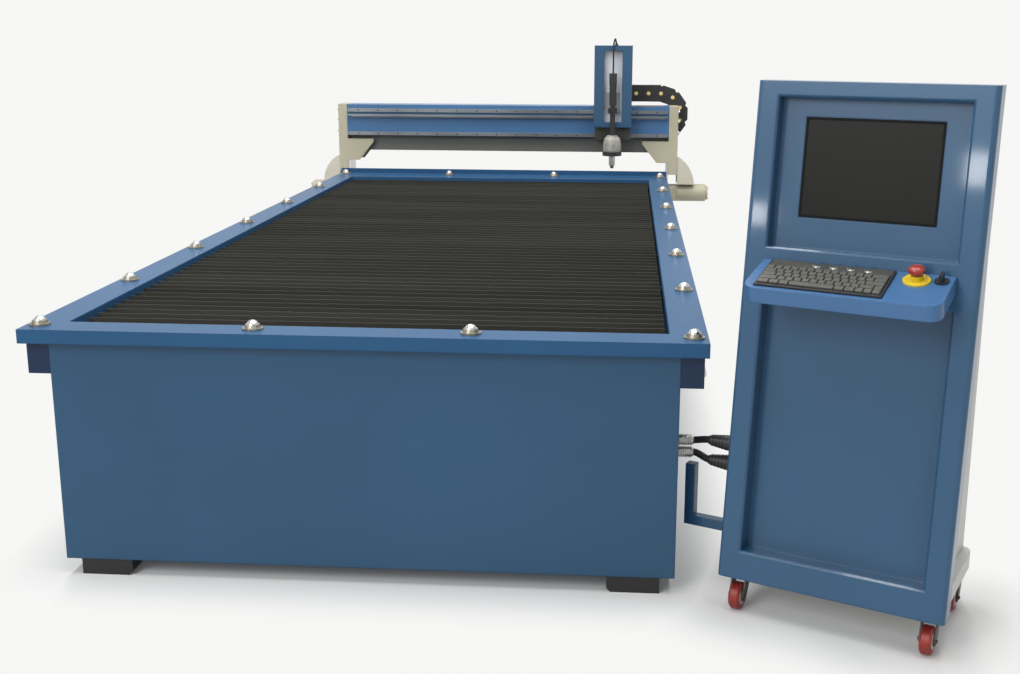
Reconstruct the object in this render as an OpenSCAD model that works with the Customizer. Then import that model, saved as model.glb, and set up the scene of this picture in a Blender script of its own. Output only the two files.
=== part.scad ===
// Plasma cutting table with a travelling gantry, and its control console on casters.
// Table frame: X across the bed from its centreline, Y back from the rim's front edge, Z up.
// The part's origin is on the floor, in the middle of the whole machine's outline.

/* [Rim and tank] */
// Outer length of the rim
rim_len = 3940; // [3000:10:4400]
// Height of the rim's top above the floor
rim_z = 740; // [700:5:800]
// Width of the front and side bars of the rim
rim_bar = 105; // [95:1:125]
// Width of the rear bar of the rim
rim_rear = 197; // [140:1:230]
// Height of the rim's skirt
rim_lip = 40; // [34:1:46]
// Sheet thickness of the rim
rim_t = 6; // [4:0.5:8]
// Height of the upstand along the rear edge
upstand_h = 27; // [15:1:32]
// Width of the tank over its side walls
tank_w = 1760; // [1500:10:2000]
// Overhang of the rim past the tank's sides
rim_over = 75; // [70:1:77]
// Sheet thickness of the tank
tank_t = 5; // [3:0.5:8]
// Setback of the tank's end walls from the rim's ends
tank_inset = 30; // [20:1:45]
// Height of the foot blocks
foot_h = 50; // [40:1:80]
// Side of a foot block
foot_w = 150; // [100:5:200]
// Setback of the foot blocks from the tank's sides
foot_inset = 42; // [20:1:120]
// Setback of the foot blocks from the tank's ends
foot_front = 6; // [0:1:60]

/* [Slat bed] */
// Spacing of the slats
slat_pitch = 60; // [40:1:90]
// Thickness of a slat
slat_t = 4; // [3:0.5:6]
// Height of a slat
slat_h = 100; // [80:1:120]
// Depth of the slats' tops below the rim's top
slat_drop = 12; // [8:1:30]
// Gap from the ends of the slats to the rim
slat_gap = 8; // [6:1:60]
// Depth that a slat sits in its combs
slat_seat = 72; // [40:1:75]
// Thickness of a comb
comb_t = 8; // [5:1:12]
// Height of a comb under the slats
comb_foot = 68; // [40:1:90]
// Width of the cross tubes under the combs
bearer_w = 60; // [40:1:80]
// Height of the cross tubes under the combs
bearer_h = 100; // [60:1:140]

/* [Ball transfers] */
// Diameter of a transfer ball
ball_d = 38; // [30:1:44]
// Diameter of a ball unit's flange
ball_flange_d = 58; // [52:1:72]
// Height of a ball's top above the rim
ball_rise = 27; // [22:1:30]
// Distance of the side ball units from the rim's outer edge
ball_side = 40; // [38:1:60]
// Distance of the end ball units from the rim's ends
ball_end = 62; // [45:1:66]

/* [Rails and drives] */
// Width of the side beams
side_beam_w = 46; // [40:1:60]
// Height of the side beams
side_beam_h = 93; // [85:1:110]
// Length that the side beams run on behind the rim
park_run = 470; // [440:5:600]
// Width of a guide rail
rail_w = 20; // [15:1:25]
// Height of a guide rail
rail_h = 17.5; // [14:0.5:22]
// Width of a guide block
block_w = 44; // [38:1:48]
// Module of the racks and pinions
gear_m = 4; // [3:0.25:4.5]
// Teeth on a pinion
pinion_teeth = 14; // [12:1:16]
// Diameter of a drive motor
motor_d = 104; // [80:1:110]
// Length of a drive motor
motor_len = 172; // [120:1:200]

/* [Gantry] */
// Height of the gantry beam's underside above the rim
gantry_rise = 200; // [180:5:260]
// Height of the gantry beam
gantry_h = 185; // [175:1:240]
// Depth of the gantry beam
gantry_d = 140; // [120:1:180]
// Gap from the rim's rear end to the legs, with the gantry parked
leg_gap = 260; // [245:5:300]
// Depth of a leg
leg_d = 150; // [140:1:200]
// Width of a leg's upright
leg_w = 54; // [45:1:70]
// Reach of a leg's gusset under the beam
gusset_reach = 158; // [100:1:190]
// Place of the torch carriage along the beam at rest, as a share of half its length
carriage_share = 0.655; // [-0.4:0.005:0.7]
// Width of the torch head's cover
head_w = 220; // [210:1:260]
// Height of the torch head's cover
head_h = 470; // [420:1:520]
// Depth of the torch head's cover
head_d = 120; // [115:1:150]
// Height of the torch tip above the rim, at rest
tip_rise = 36; // [34:1:60]

/* [Energy chain] */
// Spacing of the chain's pins
chain_pitch = 75; // [60:1:85]
// Height of a chain link
chain_h = 98; // [80:1:104]
// Width of the chain
chain_w = 80; // [60:1:100]
// Links in the run from the carriage to the loop
chain_up_links = 5; // [4:1:6]
// Links in the lower run
chain_low_links = 12; // [8:1:12]

/* [Console] */
// Width of the console
con_w = 604; // [560:1:700]
// Depth of the console at its base
con_d = 420; // [400:1:520]
// Height of the console above the floor
con_h = 1428; // [1380:1:1550]
// Height of the console's base above the floor
con_z0 = 105; // [100:1:115]
// Lean of the console's front
con_lean = 7.2; // [3:0.1:9]
// Turn of the console on the floor
con_yaw = -25.4; // [-40:0.1:-15]
// Place of the console's front left corner to the right of the rim
con_gap_x = 35; // [30:1:120]
// Place of the console's front left corner ahead of the rim
con_gap_y = 52; // [40:1:200]
// Thickness of the console's front frame
front_t = 62; // [60:1:70]
// Rounding of the front frame's side edges
front_r = 14; // [6:1:20]
// Inset of the cabinet's sides from the front frame's edges
cab_inset = 38; // [30:1:60]
// Width of the screen
screen_w = 352; // [300:1:370]
// Height of the screen
screen_h = 258; // [220:1:270]
// Depth of the keyboard shelf
shelf_d = 175; // [170:1:220]
// Width of the keyboard shelf
shelf_w = 490; // [470:1:500]
// Tilt of the keyboard shelf
shelf_tilt = 15; // [8:0.5:20]
// Diameter of a caster wheel
wheel_d = 76; // [70:1:80]
// Width of a caster wheel
wheel_w = 30; // [24:1:34]

/* [Hidden] */
$fn = 48;
// One overrun serves all cuts
over = 10;
// Running clearance of shafts in their bores
run_fit = 0.05;
// Clearance of sliding and loose faces
slip = 0.3;

// Rim, tank and bed
tank_half = tank_w / 2;
half_rim = tank_half + rim_over;
open_half = half_rim - rim_bar;
open_y0 = rim_bar;
open_y1 = rim_len - rim_rear;
skirt_z = rim_z - rim_lip;
tank_y0 = tank_inset;
tank_y1 = rim_len - tank_inset;
tank_top = rim_z - rim_t;
slat_top = rim_z - slat_drop;
slat_z0 = slat_top - slat_h;
slat_half = open_half - slat_gap;
slat_count = floor((open_y1 - open_y0) / slat_pitch);
slat_y0 = (open_y0 + open_y1 - (slat_count - 1) * slat_pitch) / 2;
comb_top = slat_z0 + slat_seat;
comb_z0 = slat_z0 - comb_foot;
comb_inset = 30;
comb_end = 25;
comb_xs = [-slat_half + comb_inset, 0, slat_half - comb_inset];
bearer_count = 6;
bearer_t = 5;
bearer_y0 = tank_y0 + tank_t;
bearer_step = (tank_y1 - tank_y0 - 2 * tank_t - bearer_w) / (bearer_count - 1);
foot_count = 3;
foot_chamfer = 12;

// Ball units
ball_front_count = 4;
ball_side_count = 7;
ball_x = half_rim - ball_side;
ball_flange_t = 5;
ball_cup_d = 46;
ball_cup_top_d = 40;
ball_cup_h = 15;
ball_slip = 0.4;
ball_front_step = 2 * ball_x / (ball_front_count - 1);
ball_side_step = (rim_len - 2 * ball_end) / (ball_side_count - 1);
ball_spots = concat(
    [for (i = [0 : ball_front_count - 1], y = [ball_end, rim_len - ball_end])
        [-ball_x + i * ball_front_step, y]],
    [for (i = [1 : ball_side_count - 2], x = [-ball_x, ball_x]) [x, ball_end + i * ball_side_step]]);

// Rails, racks and drives of the long axis
beam_out = tank_half + side_beam_w;
beam_z0 = skirt_z - side_beam_h;
beam_wall = 4;
beam_y1 = rim_len + park_run;
rail_drop = 28;
rail_z = skirt_z - rail_drop;
rail_end = 20;
block_lift = 4;
block_rise = 34;
block_len = 60;
block_gap = 10;
rack_gap = 2;
rack_back = 10;
rack_w = 24;
rack_pitch = PI * gear_m;
rack_root_ratio = 1.25;
pinion_r = gear_m * pinion_teeth / 2;
rack_top = rail_z - block_w / 2 - rack_gap;
rack_line = rack_top - rack_back - rack_root_ratio * gear_m;
drive_z = rack_line - pinion_r;
pinion_inset = 2;
pinion_shaft_d = 20;
pinion_shaft_in = 26;
bracket_t = 12;
end_plate_t = 6;
end_plate_over = 18;
bracket_h = 350;
bracket_end = 80;

// Gantry
leg_y0 = rim_len + leg_gap;
drive_y = leg_y0 + leg_d / 2;
plate_x0 = beam_out + block_rise;
plate_t = 13;
plate_edge = 5;
leg_x0 = plate_x0 + plate_t;
leg_x1 = leg_x0 + leg_w;
leg_wall = 8;
foot_clear = 50;
leg_foot_z = rim_z + foot_clear;
leg_toe = 70;
gusset_drop = 22;
gusset_lip = 18;
gusset_foot = 70;
gantry_z0 = rim_z + gantry_rise;
gantry_z1 = gantry_z0 + gantry_h;
gantry_wall = 6;
stiff_h = 93;
stiff_d = 60;
stiff_back = 50;
foot_plate_z1 = leg_foot_z - slip;
gearbox_w = 92;
gearbox_step = 4;
gearbox_len = leg_w + gearbox_step;
motor_x0 = leg_x0 + gearbox_len;
motor_x1 = motor_x0 + motor_len;
motor_cap_share = 0.82;
motor_cap_len = 14;
foot_plate_z0 = drive_z - gearbox_w / 2 - plate_edge;
cover_gap = 3;
cover_over = 30;
cover_z0 = drive_z + motor_d / 2 + cover_gap;
cover_z1 = leg_foot_z + cover_over;
cover_reach = 103;
cover_t = 4;
cover_side = 10;
cover_rise = cover_z1 - cover_z0;
cover_r = (cover_reach * cover_reach + cover_rise * cover_rise) / (2 * cover_reach);

// Carriage and torch head
carriage_x = carriage_share * leg_x0;
x_rail_top = 34;
x_rail_low = 12;
x_rail_end = 8;
x_high_z = gantry_z1 - x_rail_top;
x_low_z = gantry_z0 + x_rail_low;
x_rack_top = x_high_z - block_w / 2 - rack_gap;
x_rack_line = x_rack_top - rack_back - rack_root_ratio * gear_m;
x_drive_z = x_rack_line - pinion_r;
x_drive_off = 65;
x_drive_x = carriage_x + x_drive_off;
x_motor_d = 56;
x_motor_len = 66;
x_plate_t = 12;
x_plate_y1 = leg_y0 - block_rise;
x_plate_y0 = x_plate_y1 - x_plate_t;
x_plate_side = 4;
x_block_w = 68;
head_gap = 36;
head_z0 = x_low_z + block_w / 2 + head_gap;
head_z1 = head_z0 + head_h;
head_y0 = x_plate_y0 - head_d;
head_t = 3;
recess_w = 104;
recess_d = 45;
recess_low = 31;
recess_high = 29;
panel_t = 4;
panel_slot_w = 20;
panel_slot_z = 30;
panel_slot_h = 170;
screw_d = 16;
screw_off = 40;
screw_y = x_plate_y0 - screw_off;
screw_seat_w = 44;
screw_seat_h = 16;
screw_low = 12;
screw_len = 330;
arm_w = 100;
arm_t = 12;
arm_clear = 8;

// Torch
torch_gap = 24;
torch_y = head_y0 - torch_gap;
tip_z = rim_z + tip_rise;
nozzle_d = 20;
nozzle_top_d = 28;
nozzle_h = 18;
tip_d = 37;
tip_h = 56;
ring_d = 112;
ring_h = 22;
collar_d = 105;
collar_top_d = 66;
collar_h = 95;
collar_band_h = 40;
collar_neck_h = 16;
barrel_d = 30;
barrel_h = 175;
sleeve_d = 40;
sleeve_h = 117;
relief_w = 44;
relief_h = 64;
ring_z = tip_z + nozzle_h + tip_h;
collar_z = ring_z + ring_h;
barrel_z = collar_z + collar_h;
sleeve_z = barrel_z + barrel_h;
relief_z = sleeve_z + sleeve_h;
lead_z = relief_z + relief_h;
slide_w = 80;
slide_h = 120;
slide_t = 8;
slide_up = 82;
slide_z = head_z0 + slide_up;
slide_gap = 2;
tongue_w = 16;
tongue_h = 40;
nut_w = 34;
clamp_d = 52;
clamp_h = 30;
clamp_arm_w = 24;
clamp_rise = 2;
lead_d = 10;
lead_rise = head_z1 - lead_z;
lead_neck = 4;
lead_reach = 66;
lead_side = 16;
lead_steps = 4;
// Route of the torch lead: straight up, then over in a half loop to the cover's top
lead_route = concat(
    [for (k = [0 : lead_steps - 1]) [0, 0, k * lead_rise / lead_steps]],
    [for (a = [0 : 20 : 180])
        [lead_side * a / 180, lead_reach * (1 - cos(a)) / 2,
            lead_rise + lead_neck + lead_reach * sin(a) / 2]],
    [[lead_side, lead_reach, lead_rise]]);

// Energy chain
chain_gap = 7;
chain_y0 = leg_y0 + leg_d + chain_gap;
chain_turn = 5;
chain_r = chain_pitch / 2 / sin(90 / chain_turn);
chain_lift = arm_clear + arm_t;
chain_top_z = gantry_z1 + chain_lift + chain_h / 2;
chain_mid_z = chain_top_z - chain_r;
chain_low_z = chain_top_z - 2 * chain_r;
chain_out = 177;
chain_x = carriage_x + head_w / 2 + chain_out;
chain_anchor = chain_x - chain_up_links * chain_pitch;
link_plate = 6;
link_nose = 65;
link_nose_h = 13;
link_crown = 36;
link_bar_l = 8;
link_bar_h = 6;
pin_d = 16;
pin_h = 2;
tray_t = 5;
tray_lip = 30;
tray_gap = 4;
tray_lift = 0.5;
tray_run = 720;
tray_z = chain_low_z - chain_h / 2 - tray_lift;
tray_x1 = leg_x0 - gusset_reach - slip;

// Console
con_x = half_rim + con_gap_x;
con_y = -con_gap_y;
con_t = 3;
lean_run = (con_h - con_z0) * tan(con_lean);
face_len = (con_h - con_z0) / cos(con_lean);
stile_w = 60;
up_low_share = 0.679;
up_low = up_low_share * face_len;
up_top = 40;
up_depth = 40;
low_low_share = 0.06;
low_low = low_low_share * face_len;
low_top_share = 0.589;
low_top = low_top_share * face_len;
low_depth = 54;
mouth_c = 5;
screen_up = 17;
screen_low = (up_low + face_len - up_top - screen_h) / 2 + screen_up;
screen_t = 4;
cab_drop = 30;
pan_in = 14;
pan_h = 48;
pan_r = 30;
screen_frame = 0.5;
door_side = 42;
door_low = 60;
door_high = 110;
door_gap = 0.7;
door_t = 4;
door_z0 = con_z0 + door_low;
door_z1 = con_h - door_high;
door_x0 = cab_inset + door_side;
door_x1 = con_w - cab_inset - door_side;
hinge_d = 12;
hinge_pin_d = 6;
hinge_len = 70;
hinge_end = 140;
hinge_leaf_w = 26;
hinge_leaf_t = 2;
hinge_off = 1;
hinge_lift = 0.4;
hinge_cap = 8;
latch_d = 30;
latch_t = 10;
latch_bar_l = 84;
latch_bar_w = 16;
latch_shaft_d = 12;
latch_in = 50;
latch_z = (door_z0 + door_z1) / 2;
shelf_t = 42;
shelf_top_t = 7;
shelf_share = 0.654;
shelf_v = shelf_share * face_len;
shelf_r = 36;
shelf_x0 = (con_w - shelf_w) / 2;
shelf_y = shelf_v * sin(con_lean);
shelf_z = con_z0 + shelf_v * cos(con_lean);
shelf_tail = 90;
pad_x = 26;
pad_w = 322;
pad_d = 150;
pad_front = 14;
pad_t = 10;
pad_sink = 4;
key_rows = 5;
key_cols = 15;
key_gap = 3;
key_h = 6;
key_edge = 6;
strip_d = 36;
button_d = 15;
button_h = 7;
button_seat = 7;
button_hold = 3.5;
button_slip = 0.4;
estop_travel = 8;
button_step = 44;
button_x = 150;
estop_x = 404;
estop_back = 46;
estop_plate_d = 68;
estop_plate_h = 6;
estop_neck_d = 30;
estop_neck_h = 10;
estop_head_d = 40;
estop_dome_r = 24;
estop_head_h = 18;
estop_gap = 8;
estop_stem_d = 16;
knob_x = 462;
knob_back = 38;
knob_d = 30;
knob_h = 18;
knob_base_d = 36;
knob_base_h = 4;
knob_grip_w = 9;
knob_stem_d = 10;
knob_stem_l = 14;
guard_w = 28;
guard_reach = 150;
guard_h = 180;
guard_y = 120;
guard_z = 181;
wheel_hub_d = 30;
axle_d = 10;
axle_end = 4;
fork_t = 4;
fork_gap = 2;
fork_drop = 14;
fork_top_d = 56;
fork_top_t = 5;
caster_plate_w = 60;
caster_plate_t = 4;
caster_in = 46;
caster_front = 74;
caster_rear = 60;
caster_trail = 30;
king_d = 16;
king_up = 2.5;
tyre_round = 5;
caster_spots = [[caster_in, caster_front], [con_w - caster_in, caster_front],
    [caster_in, con_d - caster_rear], [con_w - caster_in, con_d - caster_rear]];

// Control cables between the console and the tank
plug_d = 44;
plug_end_d = 30;
plug_len = 130;
plug_cone_len = 55;
plug_nut_d = 50;
plug_nut_t = 12;
gland_d = 32;
gland_len = 44;
gland_rib = 3;
gland_ribs = 5;
gland_plate_d = 35;
gland_plate_t = 4;
cable_d = 20;
cable_seat = 10;
cable_y = 150;
cable_mid_z = 403;
plug_rise = 29;
gland_rise = 18;
cable_sides = [1, -1];
cable_seg = 6;

// Outline of the whole machine, for the part's origin
yaw_c = cos(con_yaw);
yaw_s = sin(con_yaw);
shelf_reach = shelf_d * cos(shelf_tilt);
shelf_corner_r = shelf_r * sqrt(pow(yaw_s, 2) + pow(yaw_c * cos(shelf_tilt), 2));
shelf_corner_x = shelf_x0 + shelf_w - shelf_r;
shelf_corner_y = shelf_y - shelf_reach + shelf_r * cos(shelf_tilt);
all_x0 = -motor_x1 - motor_cap_len;
all_x1 = con_x + (con_w - pan_in - pan_r) * yaw_c - (con_d - pan_r) * yaw_s + pan_r;
all_y0 = con_y + shelf_corner_x * yaw_s + shelf_corner_y * yaw_c - shelf_corner_r;
all_y1 = chain_y0 + chain_w + tray_gap + tray_t;
mid_x = (all_x0 + all_x1) / 2;
mid_y = (all_y0 + all_y1) / 2;

// Placing helpers
module in_table() {
    translate([-mid_x, -mid_y, 0]) children();
}
module in_console() {
    in_table() translate([con_x, con_y, 0]) rotate([0, 0, con_yaw]) children();
}
// The console's leaning front: x across, y into the face, z up along the face
module on_face() {
    in_console() translate([0, 0, con_z0]) rotate([-con_lean, 0, 0]) children();
}
// The shelf's top: x across from its left end, y back to the console, z out of the top
module on_shelf() {
    in_console() translate([shelf_x0, shelf_y, shelf_z]) rotate([shelf_tilt, 0, 0]) children();
}
// Both sides of the table, the second a mirror image of the first
module both_sides() {
    children();
    mirror([1, 0, 0]) children();
}
module box(from, to) {
    translate(from) cube(to - from);
}
// A cylinder along X, Y or Z from a start point
module rod_x(at, d, l) {
    translate(at) rotate([0, 90, 0]) cylinder(d = d, h = l);
}
module rod_y(at, d, l) {
    translate(at) rotate([-90, 0, 0]) cylinder(d = d, h = l);
}
module rod_z(at, d, l) {
    translate(at) cylinder(d = d, h = l);
}

// A tube of eight sides along a list of points, with square ends
function unit(v) = v / norm(v);
function path_dir(p, i) =
    i == 0 ? unit(p[1] - p[0]) :
    i == len(p) - 1 ? unit(p[i] - p[i - 1]) : unit(unit(p[i + 1] - p[i]) + unit(p[i] - p[i - 1]));
function path_side(d) = unit(cross(d, abs(d[0]) < 0.8 ? [1, 0, 0] : [0, 1, 0]));
module tube(p, d, sides = 8) {
    rings = [for (i = [0 : len(p) - 1])
        let (t = path_dir(p, i), u = path_side(t), v = cross(t, u))
        for (k = [0 : sides - 1])
            p[i] + d / 2 * (cos(k * 360 / sides) * u + sin(k * 360 / sides) * v)];
    last = (len(p) - 1) * sides;
    ends = [[for (k = [0 : sides - 1]) k], [for (k = [sides - 1 : -1 : 0]) last + k]];
    walls = [for (i = [0 : len(p) - 2], k = [0 : sides - 1])
        let (a = i * sides + k, b = i * sides + (k + 1) % sides)
        for (f = [[a, a + sides, b], [b, a + sides, b + sides]]) f];
    polyhedron(points = rings, faces = concat(ends, walls), convexity = 6);
}

// A toothed rack's profile along X, teeth down, its pitch line at zero, a tooth gap at x = 0
module rack_profile(x0, x1) {
    root = rack_root_ratio * gear_m;
    root_half_share = 0.36;
    tip_half_share = 0.13;
    first = ceil((x0 + rack_pitch) / rack_pitch);
    last = floor((x1 - rack_pitch) / rack_pitch);
    teeth = [for (i = [first : last])
        let (c = (i + 0.5) * rack_pitch)
        for (q = [[-root_half_share, root], [-tip_half_share, -gear_m], [tip_half_share, -gear_m],
                [root_half_share, root]]) [c + q[0] * rack_pitch, q[1]]];
    polygon(concat([[x0, root + rack_back], [x0, root]], teeth, [[x1, root], [x1, root + rack_back]]));
}

// A pinion's profile, with one tooth straight up
module pinion_profile() {
    root_r = pinion_r - gear_m;
    tip_share = 0.85;
    tip_r = pinion_r + tip_share * gear_m;
    root_half_share = 0.26;
    tip_half_share = 0.09;
    step = 360 / pinion_teeth;
    polygon([for (i = [0 : pinion_teeth - 1])
        for (q = [[root_half_share, root_r], [tip_half_share, tip_r], [-tip_half_share, tip_r],
                [-root_half_share, root_r]])
            let (a = 90 - i * step + q[0] * step) [q[1] * cos(a), q[1] * sin(a)]]);
}

// A guide block about a rail along X: the rail's foot at z = 0, the block's middle at x = 0
module guide_block(l, lift, rise) {
    difference() {
        translate([-l / 2, -block_w / 2, lift]) cube([l, block_w, rise - lift]);
        translate([-l / 2 - over, -rail_w / 2 - slip, lift - over])
            cube([l + 2 * over, rail_w + 2 * slip, rail_h - lift + over + slip]);
    }
}

// Tank and rim
module tank() {
    color("steelblue") in_table() difference() {
        box([-tank_half, tank_y0, foot_h], [tank_half, tank_y1, tank_top]);
        box([-tank_half + tank_t, tank_y0 + tank_t, foot_h + tank_t],
            [tank_half - tank_t, tank_y1 - tank_t, tank_top + over]);
    }
}
module rim_frame() {
    color("cornflowerblue") in_table() {
        difference() {
            box([-half_rim, 0, skirt_z], [half_rim, rim_len, rim_z]);
            box([-open_half, open_y0, skirt_z - over], [open_half, open_y1, rim_z + over]);
            difference() {
                box([-half_rim + rim_t, rim_t, skirt_z - over],
                    [half_rim - rim_t, rim_len - rim_t, rim_z - rim_t]);
                box([-open_half - rim_t, open_y0 - rim_t, skirt_z - 2 * over],
                    [open_half + rim_t, open_y1 + rim_t, rim_z]);
            }
            for (p = ball_spots)
                rod_z([p[0], p[1], rim_z - rim_t - over], ball_d + 2 * ball_slip, rim_t + 2 * over);
        }
        box([-half_rim, rim_len - rim_t, rim_z], [half_rim, rim_len, rim_z + upstand_h]);
    }
}
module slats() {
    color("dimgray") in_table() for (i = [0 : slat_count - 1])
        translate([-slat_half, slat_y0 + i * slat_pitch - slat_t / 2, slat_z0])
            cube([2 * slat_half, slat_t, slat_h]);
}
// A comb's outline: notched along its top edge
module comb_profile() {
    y0 = open_y0 + comb_end;
    y1 = open_y1 - comb_end;
    notch = slat_t / 2 + slip;
    notches = [for (i = [0 : slat_count - 1])
        let (y = slat_y0 + i * slat_pitch)
        for (q = [[y - notch, comb_top], [y - notch, slat_z0], [y + notch, slat_z0],
                [y + notch, comb_top]])
            if (y - notch > y0 && y + notch < y1) q];
    polygon(concat([[y0, comb_z0 + slip], [y0, comb_top]], notches, [[y1, comb_top], [y1, comb_z0 + slip]]));
}
module slat_support() {
    inner = tank_half - tank_t;
    color("gray") in_table() {
        for (x = comb_xs)
            translate([x - comb_t / 2, 0, 0]) rotate([90, 0, 90]) linear_extrude(comb_t) comb_profile();
        for (i = [0 : bearer_count - 1])
            translate([-inner, bearer_y0 + i * bearer_step, comb_z0 - bearer_h]) difference() {
                cube([2 * inner, bearer_w, bearer_h]);
                translate([-over, bearer_t, bearer_t])
                    cube([2 * inner + 2 * over, bearer_w - 2 * bearer_t, bearer_h - 2 * bearer_t]);
            }
    }
}
// Hollow beams under the rim's overhang, with front plates that cover the rails' ends, and welded
// brackets where the beams run on behind the tank
module side_beams() {
    color("steelblue") in_table() both_sides() {
        difference() {
            box([tank_half, tank_y0, beam_z0], [beam_out, beam_y1, skirt_z]);
            box([tank_half + beam_wall, tank_y0 + beam_wall, beam_z0 + beam_wall],
                [beam_out - beam_wall, beam_y1 + over, skirt_z - beam_wall]);
        }
        box([tank_half, tank_y0, beam_z0], [beam_out + end_plate_over, tank_y0 + end_plate_t, skirt_z]);
        translate([tank_half - bracket_t, 0, 0]) rotate([90, 0, 90]) linear_extrude(bracket_t)
            polygon([[tank_y1, skirt_z - bracket_h], [tank_y1, skirt_z], [beam_y1 - bracket_end, skirt_z],
                [beam_y1 - bracket_end, beam_z0]]);
    }
}
module guide_rails() {
    color("silver") in_table() both_sides()
        box([beam_out, tank_y0 + rail_end, rail_z - rail_w / 2],
            [beam_out + rail_h, beam_y1 - rail_end, rail_z + rail_w / 2]);
}
module racks() {
    color("darkgray") in_table() both_sides()
        translate([beam_out, drive_y, rack_line]) rotate([90, 0, 90]) linear_extrude(rack_w)
            rack_profile(tank_y0 + rail_end - drive_y, beam_y1 - rail_end - drive_y);
}
module tank_feet() {
    step = (tank_y1 - tank_y0 - 2 * foot_front - foot_w) / (foot_count - 1);
    color("black") in_table() both_sides() for (i = [0 : foot_count - 1])
        translate([tank_half - foot_inset, tank_y0 + foot_front + i * step, 0])
            rotate([90, 0, 180]) linear_extrude(foot_w)
                polygon([[0, 0], [foot_w - foot_chamfer, 0], [foot_w, foot_chamfer], [foot_w, foot_h],
                    [0, foot_h]]);
}
module ball_housings() {
    color("silver") in_table() for (p = ball_spots) translate([p[0], p[1], rim_z]) difference() {
        union() {
            cylinder(d = ball_flange_d, h = ball_flange_t);
            translate([0, 0, ball_flange_t])
                cylinder(d1 = ball_cup_d, d2 = ball_cup_top_d, h = ball_cup_h - ball_flange_t);
        }
        translate([0, 0, ball_rise - ball_d / 2]) sphere(d = ball_d + 2 * ball_slip);
    }
}
module transfer_balls() {
    color("gainsboro") in_table() for (p = ball_spots)
        translate([p[0], p[1], rim_z + ball_rise - ball_d / 2]) sphere(d = ball_d);
}

// Connectors on the tank's right wall and on the console's left side, and the cables between
function console_point(x, y, z) =
    [con_x + x * yaw_c - y * yaw_s, con_y + x * yaw_s + y * yaw_c, z];
function plug_end(k) = console_point(cab_inset - plug_len, cable_y, cable_mid_z + k * plug_rise);
function gland_end(k) =
    [tank_half + gland_plate_t + gland_len, plug_end(k)[1] - yaw_s * plug_len / 2,
        cable_mid_z + k * gland_rise];
module cable_plug() {
    body = plug_len - plug_cone_len;
    difference() {
        union() {
            rod_x([-body, 0, 0], plug_d, body);
            translate([-plug_len, 0, 0]) rotate([0, 90, 0])
                cylinder(d1 = plug_end_d, d2 = plug_d, h = plug_cone_len);
            rod_x([-plug_nut_t, 0, 0], plug_nut_d, plug_nut_t);
        }
        rod_x([-plug_len - over, 0, 0], cable_d + 2 * ball_slip, over + cable_seat);
    }
}
module cable_gland() {
    reach = gland_plate_t + gland_len;
    difference() {
        union() {
            rod_x([0, 0, 0], gland_plate_d, gland_plate_t);
            rod_x([0, 0, 0], gland_d - 2 * gland_rib, reach);
            for (k = [0 : gland_ribs - 1])
                rod_x([gland_plate_t + (k + 0.5) * gland_len / gland_ribs, 0, 0], gland_d, gland_rib);
        }
        rod_x([reach - cable_seat, 0, 0], cable_d + 2 * ball_slip, over + cable_seat);
    }
}
module cable_connectors() {
    color("dimgray") for (k = cable_sides) {
        in_console() translate([cab_inset, cable_y, cable_mid_z + k * plug_rise]) cable_plug();
        in_table() translate([tank_half, gland_end(k)[1], gland_end(k)[2]]) cable_gland();
    }
}
module control_cables() {
    hold = cable_seat - slip;
    out = [-yaw_c, -yaw_s, 0];
    color("black") in_table() for (k = cable_sides) {
        a = gland_end(k);
        b = plug_end(k);
        reach = (b[0] - a[0]) / 3;
        pa = a + [reach, 0, 0];
        pb = b + reach * out;
        tube(concat([a - [hold, 0, 0]],
            [for (i = [0 : cable_seg])
                let (t = i / cable_seg, r = 1 - t)
                r * r * r * a + 3 * r * r * t * pa + 3 * r * t * t * pb + t * t * t * b],
            [b - hold * out]), cable_d);
    }
}

// Gantry
module gantry_beam() {
    color("steelblue") in_table() difference() {
        box([-leg_x0, leg_y0, gantry_z0], [leg_x0, leg_y0 + gantry_d, gantry_z1]);
        box([-leg_x0 - over, leg_y0 + gantry_wall, gantry_z0 + gantry_wall],
            [leg_x0 + over, leg_y0 + gantry_d - gantry_wall, gantry_z1 - gantry_wall]);
    }
}
module beam_stiffener() {
    color("dimgray") in_table() difference() {
        box([-leg_x0, leg_y0 + stiff_back, gantry_z0 - stiff_h],
            [leg_x0, leg_y0 + stiff_back + stiff_d, gantry_z0]);
        box([-leg_x0 - over, leg_y0 + stiff_back + beam_wall, gantry_z0 - stiff_h + beam_wall],
            [leg_x0 + over, leg_y0 + stiff_back + stiff_d - beam_wall, gantry_z0 - beam_wall]);
    }
}
module x_rails() {
    half = leg_x0 - x_rail_end;
    color("silver") in_table() for (z = [x_high_z, x_low_z])
        box([-half, leg_y0 - rail_h, z - rail_w / 2], [half, leg_y0, z + rail_w / 2]);
}
module x_rack() {
    half = leg_x0 - x_rail_end;
    color("darkgray") in_table() translate([x_drive_x, leg_y0, x_rack_line]) rotate([90, 0, 0])
        linear_extrude(rack_w) rack_profile(-half - x_drive_x, half - x_drive_x);
}
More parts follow.
